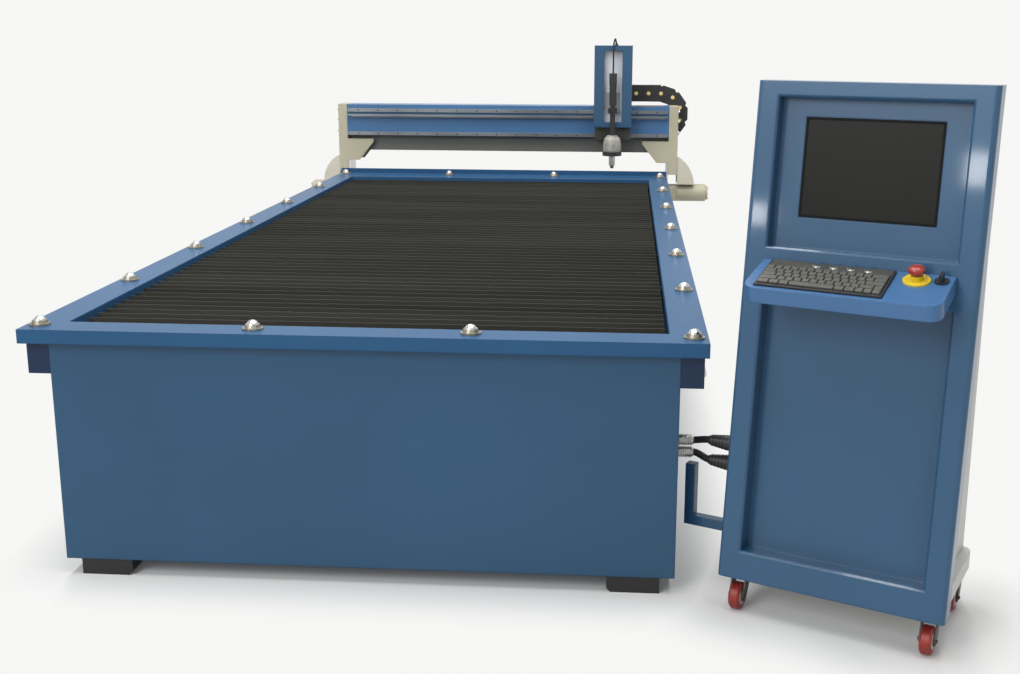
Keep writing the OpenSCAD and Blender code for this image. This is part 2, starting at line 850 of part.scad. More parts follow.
// A leg of folded plate: an upright, and a gusset of two plates under the beam
module leg() {
    outline = [[leg_x0, gantry_z1], [leg_x1, gantry_z1], [leg_x1, leg_foot_z - leg_toe],
        [leg_x0, leg_foot_z - leg_toe], [leg_x0, leg_foot_z], [leg_x0 - gusset_foot, leg_foot_z],
        [leg_x0 - gusset_reach, gantry_z0 - gusset_drop - gusset_lip],
        [leg_x0 - gusset_reach, gantry_z0 - gusset_drop], [leg_x0, gantry_z0 - gusset_drop]];
    difference() {
        translate([0, leg_y0 + leg_d, 0]) rotate([90, 0, 0]) linear_extrude(leg_d) polygon(outline);
        box([leg_x0 - gusset_reach - over, leg_y0 + leg_wall, leg_foot_z - over],
            [leg_x0, leg_y0 + leg_d - leg_wall, gantry_z0 - gusset_drop + over]);
        box([leg_x0 + leg_wall, leg_y0 + leg_wall, leg_foot_z - leg_toe - over],
            [leg_x1 - leg_wall, leg_y0 + leg_d - leg_wall, gantry_z1 - leg_wall]);
    }
}
module gantry_legs() {
    color("wheat") in_table() both_sides() leg();
}
module foot_plates() {
    color("gainsboro") in_table() both_sides() difference() {
        box([plate_x0, leg_y0 + plate_edge, foot_plate_z0],
            [leg_x0, leg_y0 + leg_d - plate_edge, foot_plate_z1]);
        rod_x([plate_x0 - over, drive_y, drive_z], pinion_shaft_d + 2 * pinion_inset, plate_t + 2 * over);
    }
}
module guide_blocks() {
    color("gray") in_table() both_sides() for (s = [-1, 1])
        translate([beam_out, drive_y + s * (block_len + block_gap) / 2, rail_z])
            rotate([0, 90, 0]) rotate([0, 0, 90]) guide_block(block_len, block_lift, block_rise);
}
module drive_motors() {
    color("beige") in_table() both_sides() difference() {
        union() {
            box([leg_x0, drive_y - gearbox_w / 2, drive_z - gearbox_w / 2],
                [motor_x0, drive_y + gearbox_w / 2, drive_z + gearbox_w / 2]);
            rod_x([motor_x0, drive_y, drive_z], motor_d, motor_len);
            rod_x([motor_x1, drive_y, drive_z], motor_cap_share * motor_d, motor_cap_len);
        }
        rod_x([leg_x0 - over, drive_y, drive_z], pinion_shaft_d + 2 * run_fit, pinion_shaft_in + over);
    }
}
// A curved guard over each drive: part of a round shell with closed ends
module drive_covers() {
    wide = leg_d - 2 * cover_side;
    y1 = leg_y0 + leg_d - cover_side;
    color("beige") in_table() both_sides() difference() {
        translate([0, y1, 0]) rotate([90, 0, 0]) linear_extrude(wide) intersection() {
            translate([leg_x1 + cover_reach - cover_r, cover_z0]) circle(r = cover_r, $fn = 96);
            translate([leg_x1, cover_z0]) square([cover_reach, cover_rise]);
        }
        translate([0, y1 - cover_t, 0]) rotate([90, 0, 0]) linear_extrude(wide - 2 * cover_t) intersection() {
            translate([leg_x1 + cover_reach - cover_r, cover_z0]) circle(r = cover_r - cover_t, $fn = 96);
            translate([leg_x1 - over, cover_z0 - over])
                square([cover_reach + over, cover_rise - cover_t + over]);
        }
    }
}
module chain_tray() {
    y0 = leg_y0 + gantry_d;
    color("slategray") in_table() {
        box([-tray_run, y0, tray_z - tray_t], [tray_x1, all_y1, tray_z]);
        box([-tray_run, y0, tray_z], [tray_x1, y0 + tray_t, tray_z + tray_lip]);
        box([-tray_run, all_y1 - tray_t, tray_z], [tray_x1, all_y1, tray_z + tray_lip]);
    }
}
// A pinion and its shaft along X, on the drive's axis
module pinion() {
    translate([beam_out + pinion_inset, drive_y, drive_z]) {
        rotate([90, 0, 90]) linear_extrude(rack_w - pinion_inset) pinion_profile();
        rod_x([rack_w - pinion_inset, 0, 0], pinion_shaft_d,
            leg_x0 + pinion_shaft_in - slip - beam_out - rack_w);
    }
}
module pinion_left() {
    color("darkgray") in_table() mirror([1, 0, 0]) pinion();
}
module pinion_right() {
    color("darkgray") in_table() pinion();
}

// Torch carriage
module carriage_plate() {
    low = x_low_z - block_w / 2;
    high = gantry_z1 + arm_clear + arm_t;
    half = head_w / 2 - x_plate_side;
    color("gray") in_table() difference() {
        union() {
            box([carriage_x - half, x_plate_y0, low], [carriage_x + half, x_plate_y1, high]);
            box([chain_anchor, x_plate_y0, high - arm_t],
                [chain_anchor + arm_w, chain_y0 + chain_w, high]);
            for (z = [head_z0 + screw_low, head_z0 + screw_low + screw_len - screw_seat_h])
                box([carriage_x - screw_seat_w / 2, screw_y - screw_seat_w / 2, z],
                    [carriage_x + screw_seat_w / 2, x_plate_y0, z + screw_seat_h]);
            box([carriage_x - screw_seat_w / 2, x_plate_y0, high],
                [carriage_x + screw_seat_w / 2, x_plate_y1, head_z0 + screw_low + screw_len]);
        }
        rod_z([carriage_x, screw_y, head_z0], screw_d + 2 * run_fit, head_h);
        rod_y([x_drive_x, x_plate_y0 - over, x_drive_z], pinion_shaft_d + 2 * pinion_inset,
            x_plate_t + 2 * over);
    }
}
module x_blocks() {
    shift = head_w / 2 - x_plate_side - x_block_w / 2;
    color("rosybrown") in_table() for (z = [x_high_z, x_low_z], s = [-1, 1])
        translate([carriage_x + s * shift, leg_y0, z])
            rotate([90, 0, 0]) guide_block(x_block_w, block_lift, block_rise);
}
module x_motor() {
    flange_t = 8;
    color("dimgray") in_table() difference() {
        union() {
            rod_y([x_drive_x, x_plate_y0 - x_motor_len, x_drive_z], x_motor_d, x_motor_len);
            box([x_drive_x - x_motor_d / 2, x_plate_y0 - flange_t, x_drive_z - x_motor_d / 2],
                [x_drive_x + x_motor_d / 2, x_plate_y0, x_drive_z + x_motor_d / 2]);
        }
        rod_y([x_drive_x, x_plate_y0 - pinion_shaft_in, x_drive_z], pinion_shaft_d + 2 * run_fit,
            pinion_shaft_in + over);
    }
}
module x_pinion() {
    tail = leg_y0 - rack_w;
    color("darkgray") in_table() translate([x_drive_x, 0, x_drive_z]) {
        translate([0, leg_y0 - pinion_inset, 0]) rotate([90, 0, 0])
            linear_extrude(rack_w - pinion_inset) pinion_profile();
        rod_y([0, x_plate_y0 - pinion_shaft_in + slip, 0], pinion_shaft_d,
            tail - x_plate_y0 + pinion_shaft_in - slip);
    }
}
// The head's folded cover, open to the back and below, with a deep front recess
module head_cover() {
    x0 = carriage_x - head_w / 2;
    x1 = carriage_x + head_w / 2;
    r0 = carriage_x - recess_w / 2;
    r1 = carriage_x + recess_w / 2;
    z0 = head_z0 + recess_low;
    z1 = head_z1 - recess_high;
    color("steelblue") in_table() difference() {
        union() {
            difference() {
                box([x0, head_y0, head_z0], [x1, x_plate_y0, head_z1]);
                box([x0 + head_t, head_y0 + head_t, head_z0 - over],
                    [x1 - head_t, x_plate_y0 + over, head_z1 - head_t]);
            }
            box([r0 - head_t, head_y0, z0 - head_t], [r1 + head_t, head_y0 + recess_d, z1 + head_t]);
        }
        box([r0, head_y0 - over, z0], [r1, head_y0 + recess_d + over, z1]);
    }
}
module head_panel() {
    y = head_y0 + recess_d;
    color("white") in_table() difference() {
        box([carriage_x - recess_w / 2 - head_t, y, head_z0 + recess_low - head_t],
            [carriage_x + recess_w / 2 + head_t, y + panel_t, head_z1 - recess_high + head_t]);
        box([carriage_x - panel_slot_w / 2, y - over, slide_z - panel_slot_z],
            [carriage_x + panel_slot_w / 2, y + panel_t + over, slide_z - panel_slot_z + panel_slot_h]);
    }
}
module lift_screw() {
    color("silver") in_table()
        rod_z([carriage_x, screw_y, head_z0 + screw_low - slip], screw_d, screw_len + 2 * slip);
}
module lift_slide() {
    y0 = head_y0 + recess_d - slide_gap - slide_t;
    tongue_z = slide_z + (slide_h - tongue_h) / 2;
    clamp_z = slide_z + clamp_rise;
    color("gray") in_table() difference() {
        union() {
            box([carriage_x - slide_w / 2, y0, slide_z],
                [carriage_x + slide_w / 2, y0 + slide_t, slide_z + slide_h]);
            box([carriage_x - tongue_w / 2, y0, tongue_z],
                [carriage_x + tongue_w / 2, screw_y, tongue_z + tongue_h]);
            box([carriage_x - nut_w / 2, screw_y - nut_w / 2, tongue_z],
                [carriage_x + nut_w / 2, screw_y + nut_w / 2, tongue_z + tongue_h]);
            box([carriage_x - clamp_arm_w / 2, torch_y, clamp_z],
                [carriage_x + clamp_arm_w / 2, y0 + slide_t, clamp_z + clamp_h]);
            rod_z([carriage_x, torch_y, clamp_z], clamp_d, clamp_h);
        }
        rod_z([carriage_x, screw_y, tongue_z - over], screw_d + 2 * run_fit, tongue_h + 2 * over);
        rod_z([carriage_x, torch_y, clamp_z - over], barrel_d + 2 * run_fit, clamp_h + 2 * over);
    }
}
module torch() {
    color("black") in_table() translate([carriage_x, torch_y, 0]) {
        rod_z([0, 0, ring_z], ring_d, ring_h);
        rod_z([0, 0, ring_z + ring_h], barrel_d, sleeve_z - ring_z - ring_h);
        rod_z([0, 0, sleeve_z], sleeve_d, sleeve_h);
        box([-relief_w / 2, -relief_w / 2, relief_z], [relief_w / 2, relief_w / 2, lead_z]);
    }
}
module torch_tip() {
    color("silver") in_table() translate([carriage_x, torch_y, tip_z]) {
        cylinder(d1 = nozzle_d, d2 = nozzle_top_d, h = nozzle_h);
        rod_z([0, 0, nozzle_h], tip_d, tip_h);
    }
}
module torch_collar() {
    color("lightgray") in_table() translate([carriage_x, torch_y, collar_z]) difference() {
        union() {
            cylinder(d = collar_d, h = collar_band_h);
            translate([0, 0, collar_band_h]) intersection() {
                sphere(d = collar_d);
                cylinder(d = collar_d, h = collar_h - collar_band_h - collar_neck_h);
            }
            cylinder(d = collar_top_d, h = collar_h);
        }
        translate([0, 0, -over]) cylinder(d = barrel_d + 2 * run_fit, h = collar_h + 2 * over);
    }
}
module torch_lead() {
    color("black") in_table() translate([carriage_x, torch_y, lead_z]) tube(lead_route, lead_d);
}

// Energy chain: links with their plates outside or inside their neighbours' plates
module link(inner) {
    plate = link_plate + slip;
    y0 = inner ? plate : 0;
    half = chain_h / 2;
    outline = [[-link_nose, -link_nose_h], [-link_crown, -half], [link_crown, -half],
        [link_nose, -link_nose_h], [link_nose, link_nose_h], [link_crown, half], [-link_crown, half],
        [-link_nose, link_nose_h]];
    for (y = [y0, chain_w - y0 - link_plate])
        translate([0, y + link_plate, 0]) rotate([90, 0, 0]) linear_extrude(link_plate) polygon(outline);
    for (z = [-half, half - link_bar_h])
        translate([-link_bar_l / 2, y0, z]) cube([link_bar_l, chain_w - 2 * y0, link_bar_h]);
    if (!inner) for (x = [-chain_pitch / 2, chain_pitch / 2]) {
        rod_y([x, -pin_h, 0], pin_d, pin_h);
        rod_y([x, chain_w, 0], pin_d, pin_h);
    }
}
module chain_upper() {
    color("black") in_table() for (i = [0 : chain_up_links - 1])
        translate([chain_anchor + (i + 0.5) * chain_pitch, chain_y0, chain_top_z]) link(i % 2 == 1);
}
module chain_loop() {
    step = 180 / chain_turn;
    reach = chain_r * cos(step / 2);
    odd = chain_up_links % 2;
    color("black") in_table() translate([chain_x, chain_y0, 0]) {
        for (i = [0 : chain_turn - 1])
            translate([0, 0, chain_mid_z]) rotate([0, (i + 0.5) * step, 0])
                translate([0, 0, reach]) link((i + odd) % 2 == 1);
        for (i = [0 : chain_low_links - 1])
            translate([-(i + 0.5) * chain_pitch, 0, chain_low_z]) link((i + odd + chain_turn) % 2 == 1);
    }
}

// Console cabinet: folded sheet sides, top, base and back on a wider base pan, open to the front frame
module cabinet_profile(inset, front) {
    f = front_t / cos(con_lean) - front;
    slope = tan(con_lean);
    z0 = con_z0 + inset;
    z1 = con_h - cab_drop - inset;
    polygon([[f + (z0 - con_z0) * slope, z0], [con_d - inset, z0], [con_d - inset, z1],
        [f + (z1 - con_z0) * slope, z1]]);
}
module cabinet_prism(x0, x1, inset, front) {
    translate([x0, 0, 0]) rotate([90, 0, 90]) linear_extrude(x1 - x0) cabinet_profile(inset, front);
}
// A plan with two rounded corners at its far end, for the pan, or at its near end, for the front frame
module round_end(w, l, r) {
    difference() {
        square([w, l]);
        for (x = [0, w - r]) translate([x, l - r]) difference() {
            translate([x == 0 ? -over : 0, 0]) square([r + over, r + over]);
            translate([x == 0 ? r : 0, 0]) circle(r = r);
        }
    }
}
module base_pan(inset) {
    intersection() {
        cabinet_prism(0, con_w, 0, inset == 0 ? 0 : over);
        translate([pan_in + inset, 0, con_z0 + inset]) linear_extrude(pan_h - 2 * inset)
            round_end(con_w - 2 * pan_in - 2 * inset, con_d - inset, pan_r - inset);
    }
}
module console_cabinet() {
    color("lightgray") in_console() {
        difference() {
            union() {
                cabinet_prism(cab_inset, con_w - cab_inset, 0, 0);
                base_pan(0);
            }
            cabinet_prism(cab_inset + con_t, con_w - cab_inset - con_t, con_t, over);
            base_pan(con_t);
            box([door_x0 - door_gap, con_d - con_t - over, door_z0 - door_gap],
                [door_x1 + door_gap, con_d + over, door_z1 + door_gap]);
            for (i = [0, 1])
                rod_z([caster_spots[i][0], caster_spots[i][1], con_z0 - over], king_d + 2 * run_fit,
                    over + con_t + slip);
        }
        for (z = [door_z0 + hinge_end, door_z1 - hinge_end - hinge_len]) {
            x = door_x1 + hinge_off;
            y = con_d + hinge_d / 2 + hinge_lift;
            rod_z([x, y, z - hinge_cap], hinge_pin_d, hinge_len + 2 * hinge_cap);
            for (e = [z - hinge_cap - slip, z + hinge_len + slip]) {
                rod_z([x, y, e], hinge_d, hinge_cap);
                box([x, con_d, e], [x + hinge_leaf_w, con_d + hinge_leaf_t, e + hinge_cap]);
                box([x, con_d, e], [x + hinge_leaf_t, y, e + hinge_cap]);
            }
        }
        for (i = [0 : 3])
            translate([caster_spots[i][0], caster_spots[i][1], con_z0 - caster_plate_t]) difference() {
                translate([-caster_plate_w / 2, -caster_plate_w / 2, 0])
                    cube([caster_plate_w, caster_plate_w, caster_plate_t]);
                if (i < 2) translate([0, 0, -over])
                    cylinder(d = king_d + 2 * run_fit, h = caster_plate_t + 2 * over);
            }
    }
}
// A block through the front frame: its low left corner across and up the face, its size, its depth
module face_block(x, v, w, h, from, to) {
    translate([x, from, v]) cube([w, to - from, h]);
}
// The mouth of a recess: its edges rolled back at a slant
module mouth(x0, x1, v0, v1) {
    out = mouth_c + over;
    intersection() {
        translate([0, 0, v0 - out]) linear_extrude(v1 - v0 + 2 * out)
            polygon([[x0 - out, -over], [x1 + out, -over], [x1, mouth_c], [x0, mouth_c]]);
        translate([x0 - out, 0, 0]) rotate([90, 0, 90]) linear_extrude(x1 - x0 + 2 * out)
            polygon([[-over, v0 - out], [mouth_c, v0], [mouth_c, v1], [-over, v1 + out]]);
    }
}
// The front frame's plan: its side edges rounded to the front
module front_plan(inset) {
    translate([inset, front_t - inset]) mirror([0, 1])
        round_end(con_w - 2 * inset, front_t - 2 * inset, front_r - inset);
}
// The blue front frame of folded sheet, with the screen's recess above and a recessed panel below
module console_front() {
    recess_w = con_w - 2 * stile_w;
    recesses = [[up_low, face_len - up_top - up_low, up_depth], [low_low, low_top - low_low, low_depth]];
    base = con_t + front_t * tan(con_lean);
    back_in = cab_inset + con_t;
    color("steelblue") intersection() {
        on_face() difference() {
            translate([0, 0, -front_t]) linear_extrude(face_len + 2 * front_t) front_plan(0);
            difference() {
                translate([0, 0, base]) linear_extrude(face_len - con_t - base) front_plan(con_t);
                for (q = recesses)
                    face_block(stile_w - con_t - mouth_c, q[0] - con_t - mouth_c,
                        recess_w + 2 * con_t + 2 * mouth_c, q[1] + 2 * con_t + 2 * mouth_c,
                        -over, q[2] + con_t);
            }
            face_block(back_in, base + con_t, con_w - 2 * back_in, face_len - cab_drop - base - 3 * con_t,
                front_t - con_t - slip, front_t + over);
            for (q = recesses) {
                face_block(stile_w, q[0], recess_w, q[1], -over, q[2]);
                mouth(stile_w, con_w - stile_w, q[0], q[0] + q[1]);
            }
            face_block((con_w - screen_w) / 2 - screen_frame, screen_low - screen_frame,
                screen_w + 2 * screen_frame, screen_h + 2 * screen_frame, 0, front_t + over);
        }
        in_console() box([0, -con_d, con_z0], [con_w, con_d, con_h]);
    }
}
module monitor_screen() {
    color("black") on_face() translate([(con_w - screen_w) / 2, up_depth, screen_low])
        cube([screen_w, screen_t, screen_h]);
}
module shelf_outline(inset) {
    r = shelf_r - inset;
    difference() {
        translate([inset, -shelf_d + inset]) square([shelf_w - 2 * inset, shelf_d + shelf_tail]);
        for (x = [inset, shelf_w - inset - r])
            translate([x, -shelf_d + inset]) difference() {
                translate([x == inset ? -over : 0, -over]) square([r + over, r + over]);
                translate([x == inset ? r : 0, r]) circle(r = r);
            }
    }
}
module keyboard_shelf() {
    color("cornflowerblue") difference() {
        on_shelf() difference() {
            translate([0, 0, -shelf_t]) linear_extrude(shelf_t) shelf_outline(0);
            translate([0, 0, -shelf_t - over]) linear_extrude(shelf_t + over - shelf_top_t)
                shelf_outline(con_t);
            translate([pad_x, -shelf_d + pad_front, -pad_sink])
                cube([pad_w, pad_d, pad_sink + over]);
            translate([estop_x, -estop_back, -estop_travel])
                cylinder(d = estop_stem_d + 2 * button_slip, h = estop_travel + over);
            translate([knob_x, -knob_back, -knob_stem_l])
                cylinder(d = knob_stem_d + 2 * run_fit, h = knob_stem_l + over);
        }
        on_face() cube([con_w, front_t + con_d, face_len]);
    }
}
// The keyboard pad in its pocket, with its keys and the button strip behind them
module keyboard() {
    cell_w = (pad_w - 2 * key_edge) / key_cols;
    cell_d = (pad_d - strip_d - 2 * key_edge) / key_rows;
    color("dimgray") on_shelf() translate([pad_x + slip, -shelf_d + pad_front + slip, -pad_sink]) {
        difference() {
            cube([pad_w - 2 * slip, pad_d - 2 * slip, pad_t]);
            for (i = [0 : 3])
                translate([button_x - pad_x + i * button_step, pad_d - strip_d / 2, pad_t - button_seat])
                    cylinder(d = button_d + 2 * button_slip, h = button_seat + over);
        }
        for (r = [0 : key_rows - 1], c = [0 : key_cols - 1])
            translate([key_edge + c * cell_w, key_edge + r * cell_d, pad_t])
                cube([cell_w - key_gap, cell_d - key_gap, key_h]);
    }
}
module estop_base() {
    color("gold") on_shelf() translate([estop_x, -estop_back, 0]) difference() {
        union() {
            cylinder(d = estop_plate_d, h = estop_plate_h);
            translate([0, 0, estop_plate_h]) cylinder(d = estop_neck_d, h = estop_neck_h);
        }
        translate([0, 0, -over])
            cylinder(d = estop_stem_d + 2 * run_fit, h = estop_plate_h + estop_neck_h + 2 * over);
    }
}
module estop_head() {
    rise = estop_plate_h + estop_neck_h + estop_gap;
    color("red") on_shelf() translate([estop_x, -estop_back, 0]) {
        cylinder(d = estop_stem_d, h = rise);
        translate([0, 0, rise]) intersection() {
            cylinder(d = estop_head_d, h = estop_head_h);
            translate([0, 0, estop_head_h - estop_dome_r]) sphere(r = estop_dome_r);
        }
    }
}
module mode_knob() {
    color("black") on_shelf() translate([knob_x, -knob_back, slip]) {
        translate([0, 0, -knob_stem_l]) cylinder(d = knob_stem_d, h = knob_stem_l);
        cylinder(d = knob_base_d, h = knob_base_h);
        translate([0, 0, knob_base_h]) intersection() {
            cylinder(d = knob_d, h = knob_h);
            translate([-knob_grip_w / 2, -knob_d, 0]) cube([knob_grip_w, 2 * knob_d, knob_h]);
        }
    }
}
// A push button in its seat on the strip
module button(i) {
    y = -shelf_d + pad_front + pad_d - strip_d / 2;
    color("silver") on_shelf()
        translate([button_x + slip + i * button_step, y + slip, pad_t - pad_sink - button_hold])
            cylinder(d = button_d, h = button_h + button_hold);
}
module button_1() button(0);
module button_2() button(1);
module button_3() button(2);
module button_4() button(3);
module console_door() {
    x = door_x1 + hinge_off;
    y = con_d + hinge_d / 2 + hinge_lift;
    color("lightgray") in_console() {
        difference() {
            box([door_x0, con_d - door_t, door_z0], [door_x1, con_d, door_z1]);
            rod_y([door_x0 + latch_in, con_d - door_t - over, latch_z], latch_shaft_d + 2 * run_fit,
                door_t + 2 * over);
        }
        for (z = [door_z0 + hinge_end, door_z1 - hinge_end - hinge_len]) difference() {
            union() {
                rod_z([x, y, z + slip], hinge_d, hinge_len - 2 * slip);
                box([x - hinge_leaf_w, con_d, z + slip], [x, con_d + hinge_leaf_t, z + hinge_len - slip]);
            }
            rod_z([x, y, z - over], hinge_pin_d + 2 * run_fit, hinge_len + 2 * over);
        }
    }
}
module door_latch() {
    at = door_x0 + latch_in;
    color("black") in_console() {
        rod_y([at, con_d + slip, latch_z], latch_d, latch_t);
        rod_y([at, con_d - door_t - latch_t, latch_z], latch_shaft_d, door_t + latch_t + slip);
        box([at - latch_bar_w / 2, con_d + slip + latch_t / 2, latch_z - latch_bar_l / 2],
            [at + latch_bar_w / 2, con_d + slip + 2 * latch_t, latch_z + latch_bar_l / 2]);
    }
}
module guard_bar() {
    color("steelblue") in_console() translate([0, guard_y, guard_z]) {
        box([-guard_reach, 0, 0], [cab_inset, guard_w, guard_w]);
        box([-guard_reach, 0, guard_w], [-guard_reach + guard_w, guard_w, guard_h]);
    }
}
// A caster's fork below a given height: its top plate, two cheeks and the axle behind the middle
module fork(top) {
    inner = wheel_w / 2 + fork_gap;
    arm = wheel_d / 2;
    rod_z([0, 0, top - fork_top_t], fork_top_d, fork_top_t);
    for (s = [-1, 1])
        translate([s * (inner + fork_t / 2) - fork_t / 2, 0, 0]) rotate([90, 0, 90]) linear_extrude(fork_t)
            polygon([[-arm / 2, top - fork_top_t], [arm / 2, top - fork_top_t],
                [caster_trail + fork_drop, arm], [caster_trail, arm - fork_drop],
                [caster_trail - fork_drop, arm - fork_drop / 2]]);
    rod_x([-inner - fork_t - axle_end, caster_trail, arm], axle_d, 2 * (inner + fork_t + axle_end));
}
module at_caster(i) {
    in_console() translate([caster_spots[i][0], caster_spots[i][1], 0]) rotate([0, 0, 180]) children();
}
module swivel_fork(i) {
    top = con_z0 - caster_plate_t - slip;
    color("dimgray") at_caster(i) {
        fork(top);
        rod_z([0, 0, top], king_d, caster_plate_t + king_up);
    }
}
module caster_fork_1() swivel_fork(0);
module caster_fork_2() swivel_fork(1);
module rear_forks() {
    color("dimgray") for (i = [2, 3]) at_caster(i) fork(con_z0 - caster_plate_t);
}
module wheel(i) {
    r = wheel_d / 2;
    half = wheel_w / 2;
    hub = half + fork_gap - slip;
    bore = axle_d / 2 + run_fit;
    color("firebrick") at_caster(i) translate([0, caster_trail, r]) rotate([0, 90, 0]) rotate_extrude()
        polygon([[bore, -hub], [wheel_hub_d / 2, -hub], [wheel_hub_d / 2, -half],
            [r - tyre_round, -half], [r, -half + tyre_round], [r, half - tyre_round],
            [r - tyre_round, half], [wheel_hub_d / 2, half], [wheel_hub_d / 2, hub], [bore, hub]]);
}
module caster_wheel_1() wheel(0);
module caster_wheel_2() wheel(1);
module caster_wheel_3() wheel(2);
module caster_wheel_4() wheel(3);

tank();
rim_frame();
slats();
slat_support();
side_beams();
guide_rails();
racks();
tank_feet();
ball_housings();
transfer_balls();
cable_connectors();
control_cables();
gantry_beam();
beam_stiffener();
x_rails();
x_rack();
gantry_legs();
foot_plates();
guide_blocks();
drive_motors();
drive_covers();
chain_tray();
pinion_left();
pinion_right();
carriage_plate();
x_blocks();
x_motor();
head_cover();
head_panel();
x_pinion();
lift_screw();
chain_upper();
chain_loop();
lift_slide();
torch();
torch_tip();
torch_collar();
torch_lead();
console_cabinet();
console_front();
monitor_screen();
keyboard_shelf();
keyboard();
estop_base();
estop_head();
mode_knob();
button_1();
button_2();
button_3();
button_4();
console_door();
door_latch();
guard_bar();
caster_fork_1();
caster_fork_2();
rear_forks();
caster_wheel_1();
caster_wheel_2();
caster_wheel_3();
caster_wheel_4();
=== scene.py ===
"""Looks of a plasma cutting table and its console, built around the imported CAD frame.

Everything is in metres in the frame's own axes: +X across the bed, +Y back along it, +Z up.
"""

import math
import random

import bmesh
import bpy
from mathutils import Matrix, Vector


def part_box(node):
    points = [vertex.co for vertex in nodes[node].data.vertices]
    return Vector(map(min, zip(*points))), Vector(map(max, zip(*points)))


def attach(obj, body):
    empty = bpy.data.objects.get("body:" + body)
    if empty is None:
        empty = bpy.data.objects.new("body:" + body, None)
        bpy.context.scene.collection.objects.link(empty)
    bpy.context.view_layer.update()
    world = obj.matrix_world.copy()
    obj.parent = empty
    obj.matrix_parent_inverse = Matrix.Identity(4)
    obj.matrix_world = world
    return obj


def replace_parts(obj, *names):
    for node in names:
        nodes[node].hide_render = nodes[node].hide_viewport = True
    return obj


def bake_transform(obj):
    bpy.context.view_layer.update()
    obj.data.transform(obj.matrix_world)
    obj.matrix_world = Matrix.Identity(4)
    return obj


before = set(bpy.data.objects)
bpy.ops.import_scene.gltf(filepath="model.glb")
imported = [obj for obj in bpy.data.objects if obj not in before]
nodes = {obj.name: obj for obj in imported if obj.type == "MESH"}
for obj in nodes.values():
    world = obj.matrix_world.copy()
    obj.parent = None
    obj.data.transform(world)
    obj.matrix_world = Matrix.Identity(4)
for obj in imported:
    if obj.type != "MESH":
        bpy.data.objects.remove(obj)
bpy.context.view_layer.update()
random.seed(7)

# Places. The table's own origin is at the middle of the rim's front edge, on the floor.
RIM_LO, RIM_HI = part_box("rim_frame")
TABLE = Vector(((RIM_LO[0] + RIM_HI[0]) / 2, RIM_LO[1], 0.0))
RIM_TOP = 0.740

# The console stands turned on the floor, and its front leans back.
CONSOLE_AT = (0.990, -0.052, 0.0)
CONSOLE_YAW = math.radians(-25.4)
CONSOLE_LEAN = math.radians(7.2)
CONSOLE_BASE = 0.105
CONSOLE_TOP = 1.428
CONSOLE_W = 0.604
CONSOLE_D = 0.420
CABINET_IN = 0.038
FACE_LEN = (CONSOLE_TOP - CONSOLE_BASE) / math.cos(CONSOLE_LEAN)
SHELF_TILT = math.radians(15.0)
SHELF_W = 0.490
SHELF_D = 0.175
SHELF_UP = 0.654 * FACE_LEN

# The keyboard's pad lies in the shelf, with a strip of buttons along its rear edge.
PAD_X = 0.026
PAD_W = 0.322
PAD_D = 0.150
PAD_FRONT = 0.014
STRIP_D = 0.036


def at(x, y, z):
    """A point in the table's own coordinates."""
    return TABLE + Vector((x, y, z))


def turn(angle, axis):
    return Matrix.Rotation(angle, 4, axis)


def shift(x, y, z):
    return Matrix.Translation((x, y, z))


CONSOLE = Matrix.Translation(at(*CONSOLE_AT)) @ turn(CONSOLE_YAW, "Z")
FACE = CONSOLE @ shift(0, 0, CONSOLE_BASE) @ turn(-CONSOLE_LEAN, "X")
SHELF = CONSOLE @ shift(
    (CONSOLE_W - SHELF_W) / 2,
    SHELF_UP * math.sin(CONSOLE_LEAN),
    CONSOLE_BASE + SHELF_UP * math.cos(CONSOLE_LEAN),
) @ turn(SHELF_TILT, "X")


# Materials


def srgb(r, g, b):
    """A colour given in display values from 0 to 255, as the shader needs it."""

    def lin(v):
        v /= 255.0
        return v / 12.92 if v <= 0.04045 else ((v + 0.055) / 1.055) ** 2.4

    return (lin(r), lin(g), lin(b), 1.0)


# A finish's second tone, where its tones meet, its coat's roughness and its grain's depth
DARKER = 0.88
TONE_EDGES = (0.32, 0.68)
COAT_ROUGH = 0.07
RELIEF_DEPTH = 0.0008


def mixed(colour, factor):
    return tuple(min(1.0, c * factor) for c in colour[:3]) + (1.0,)


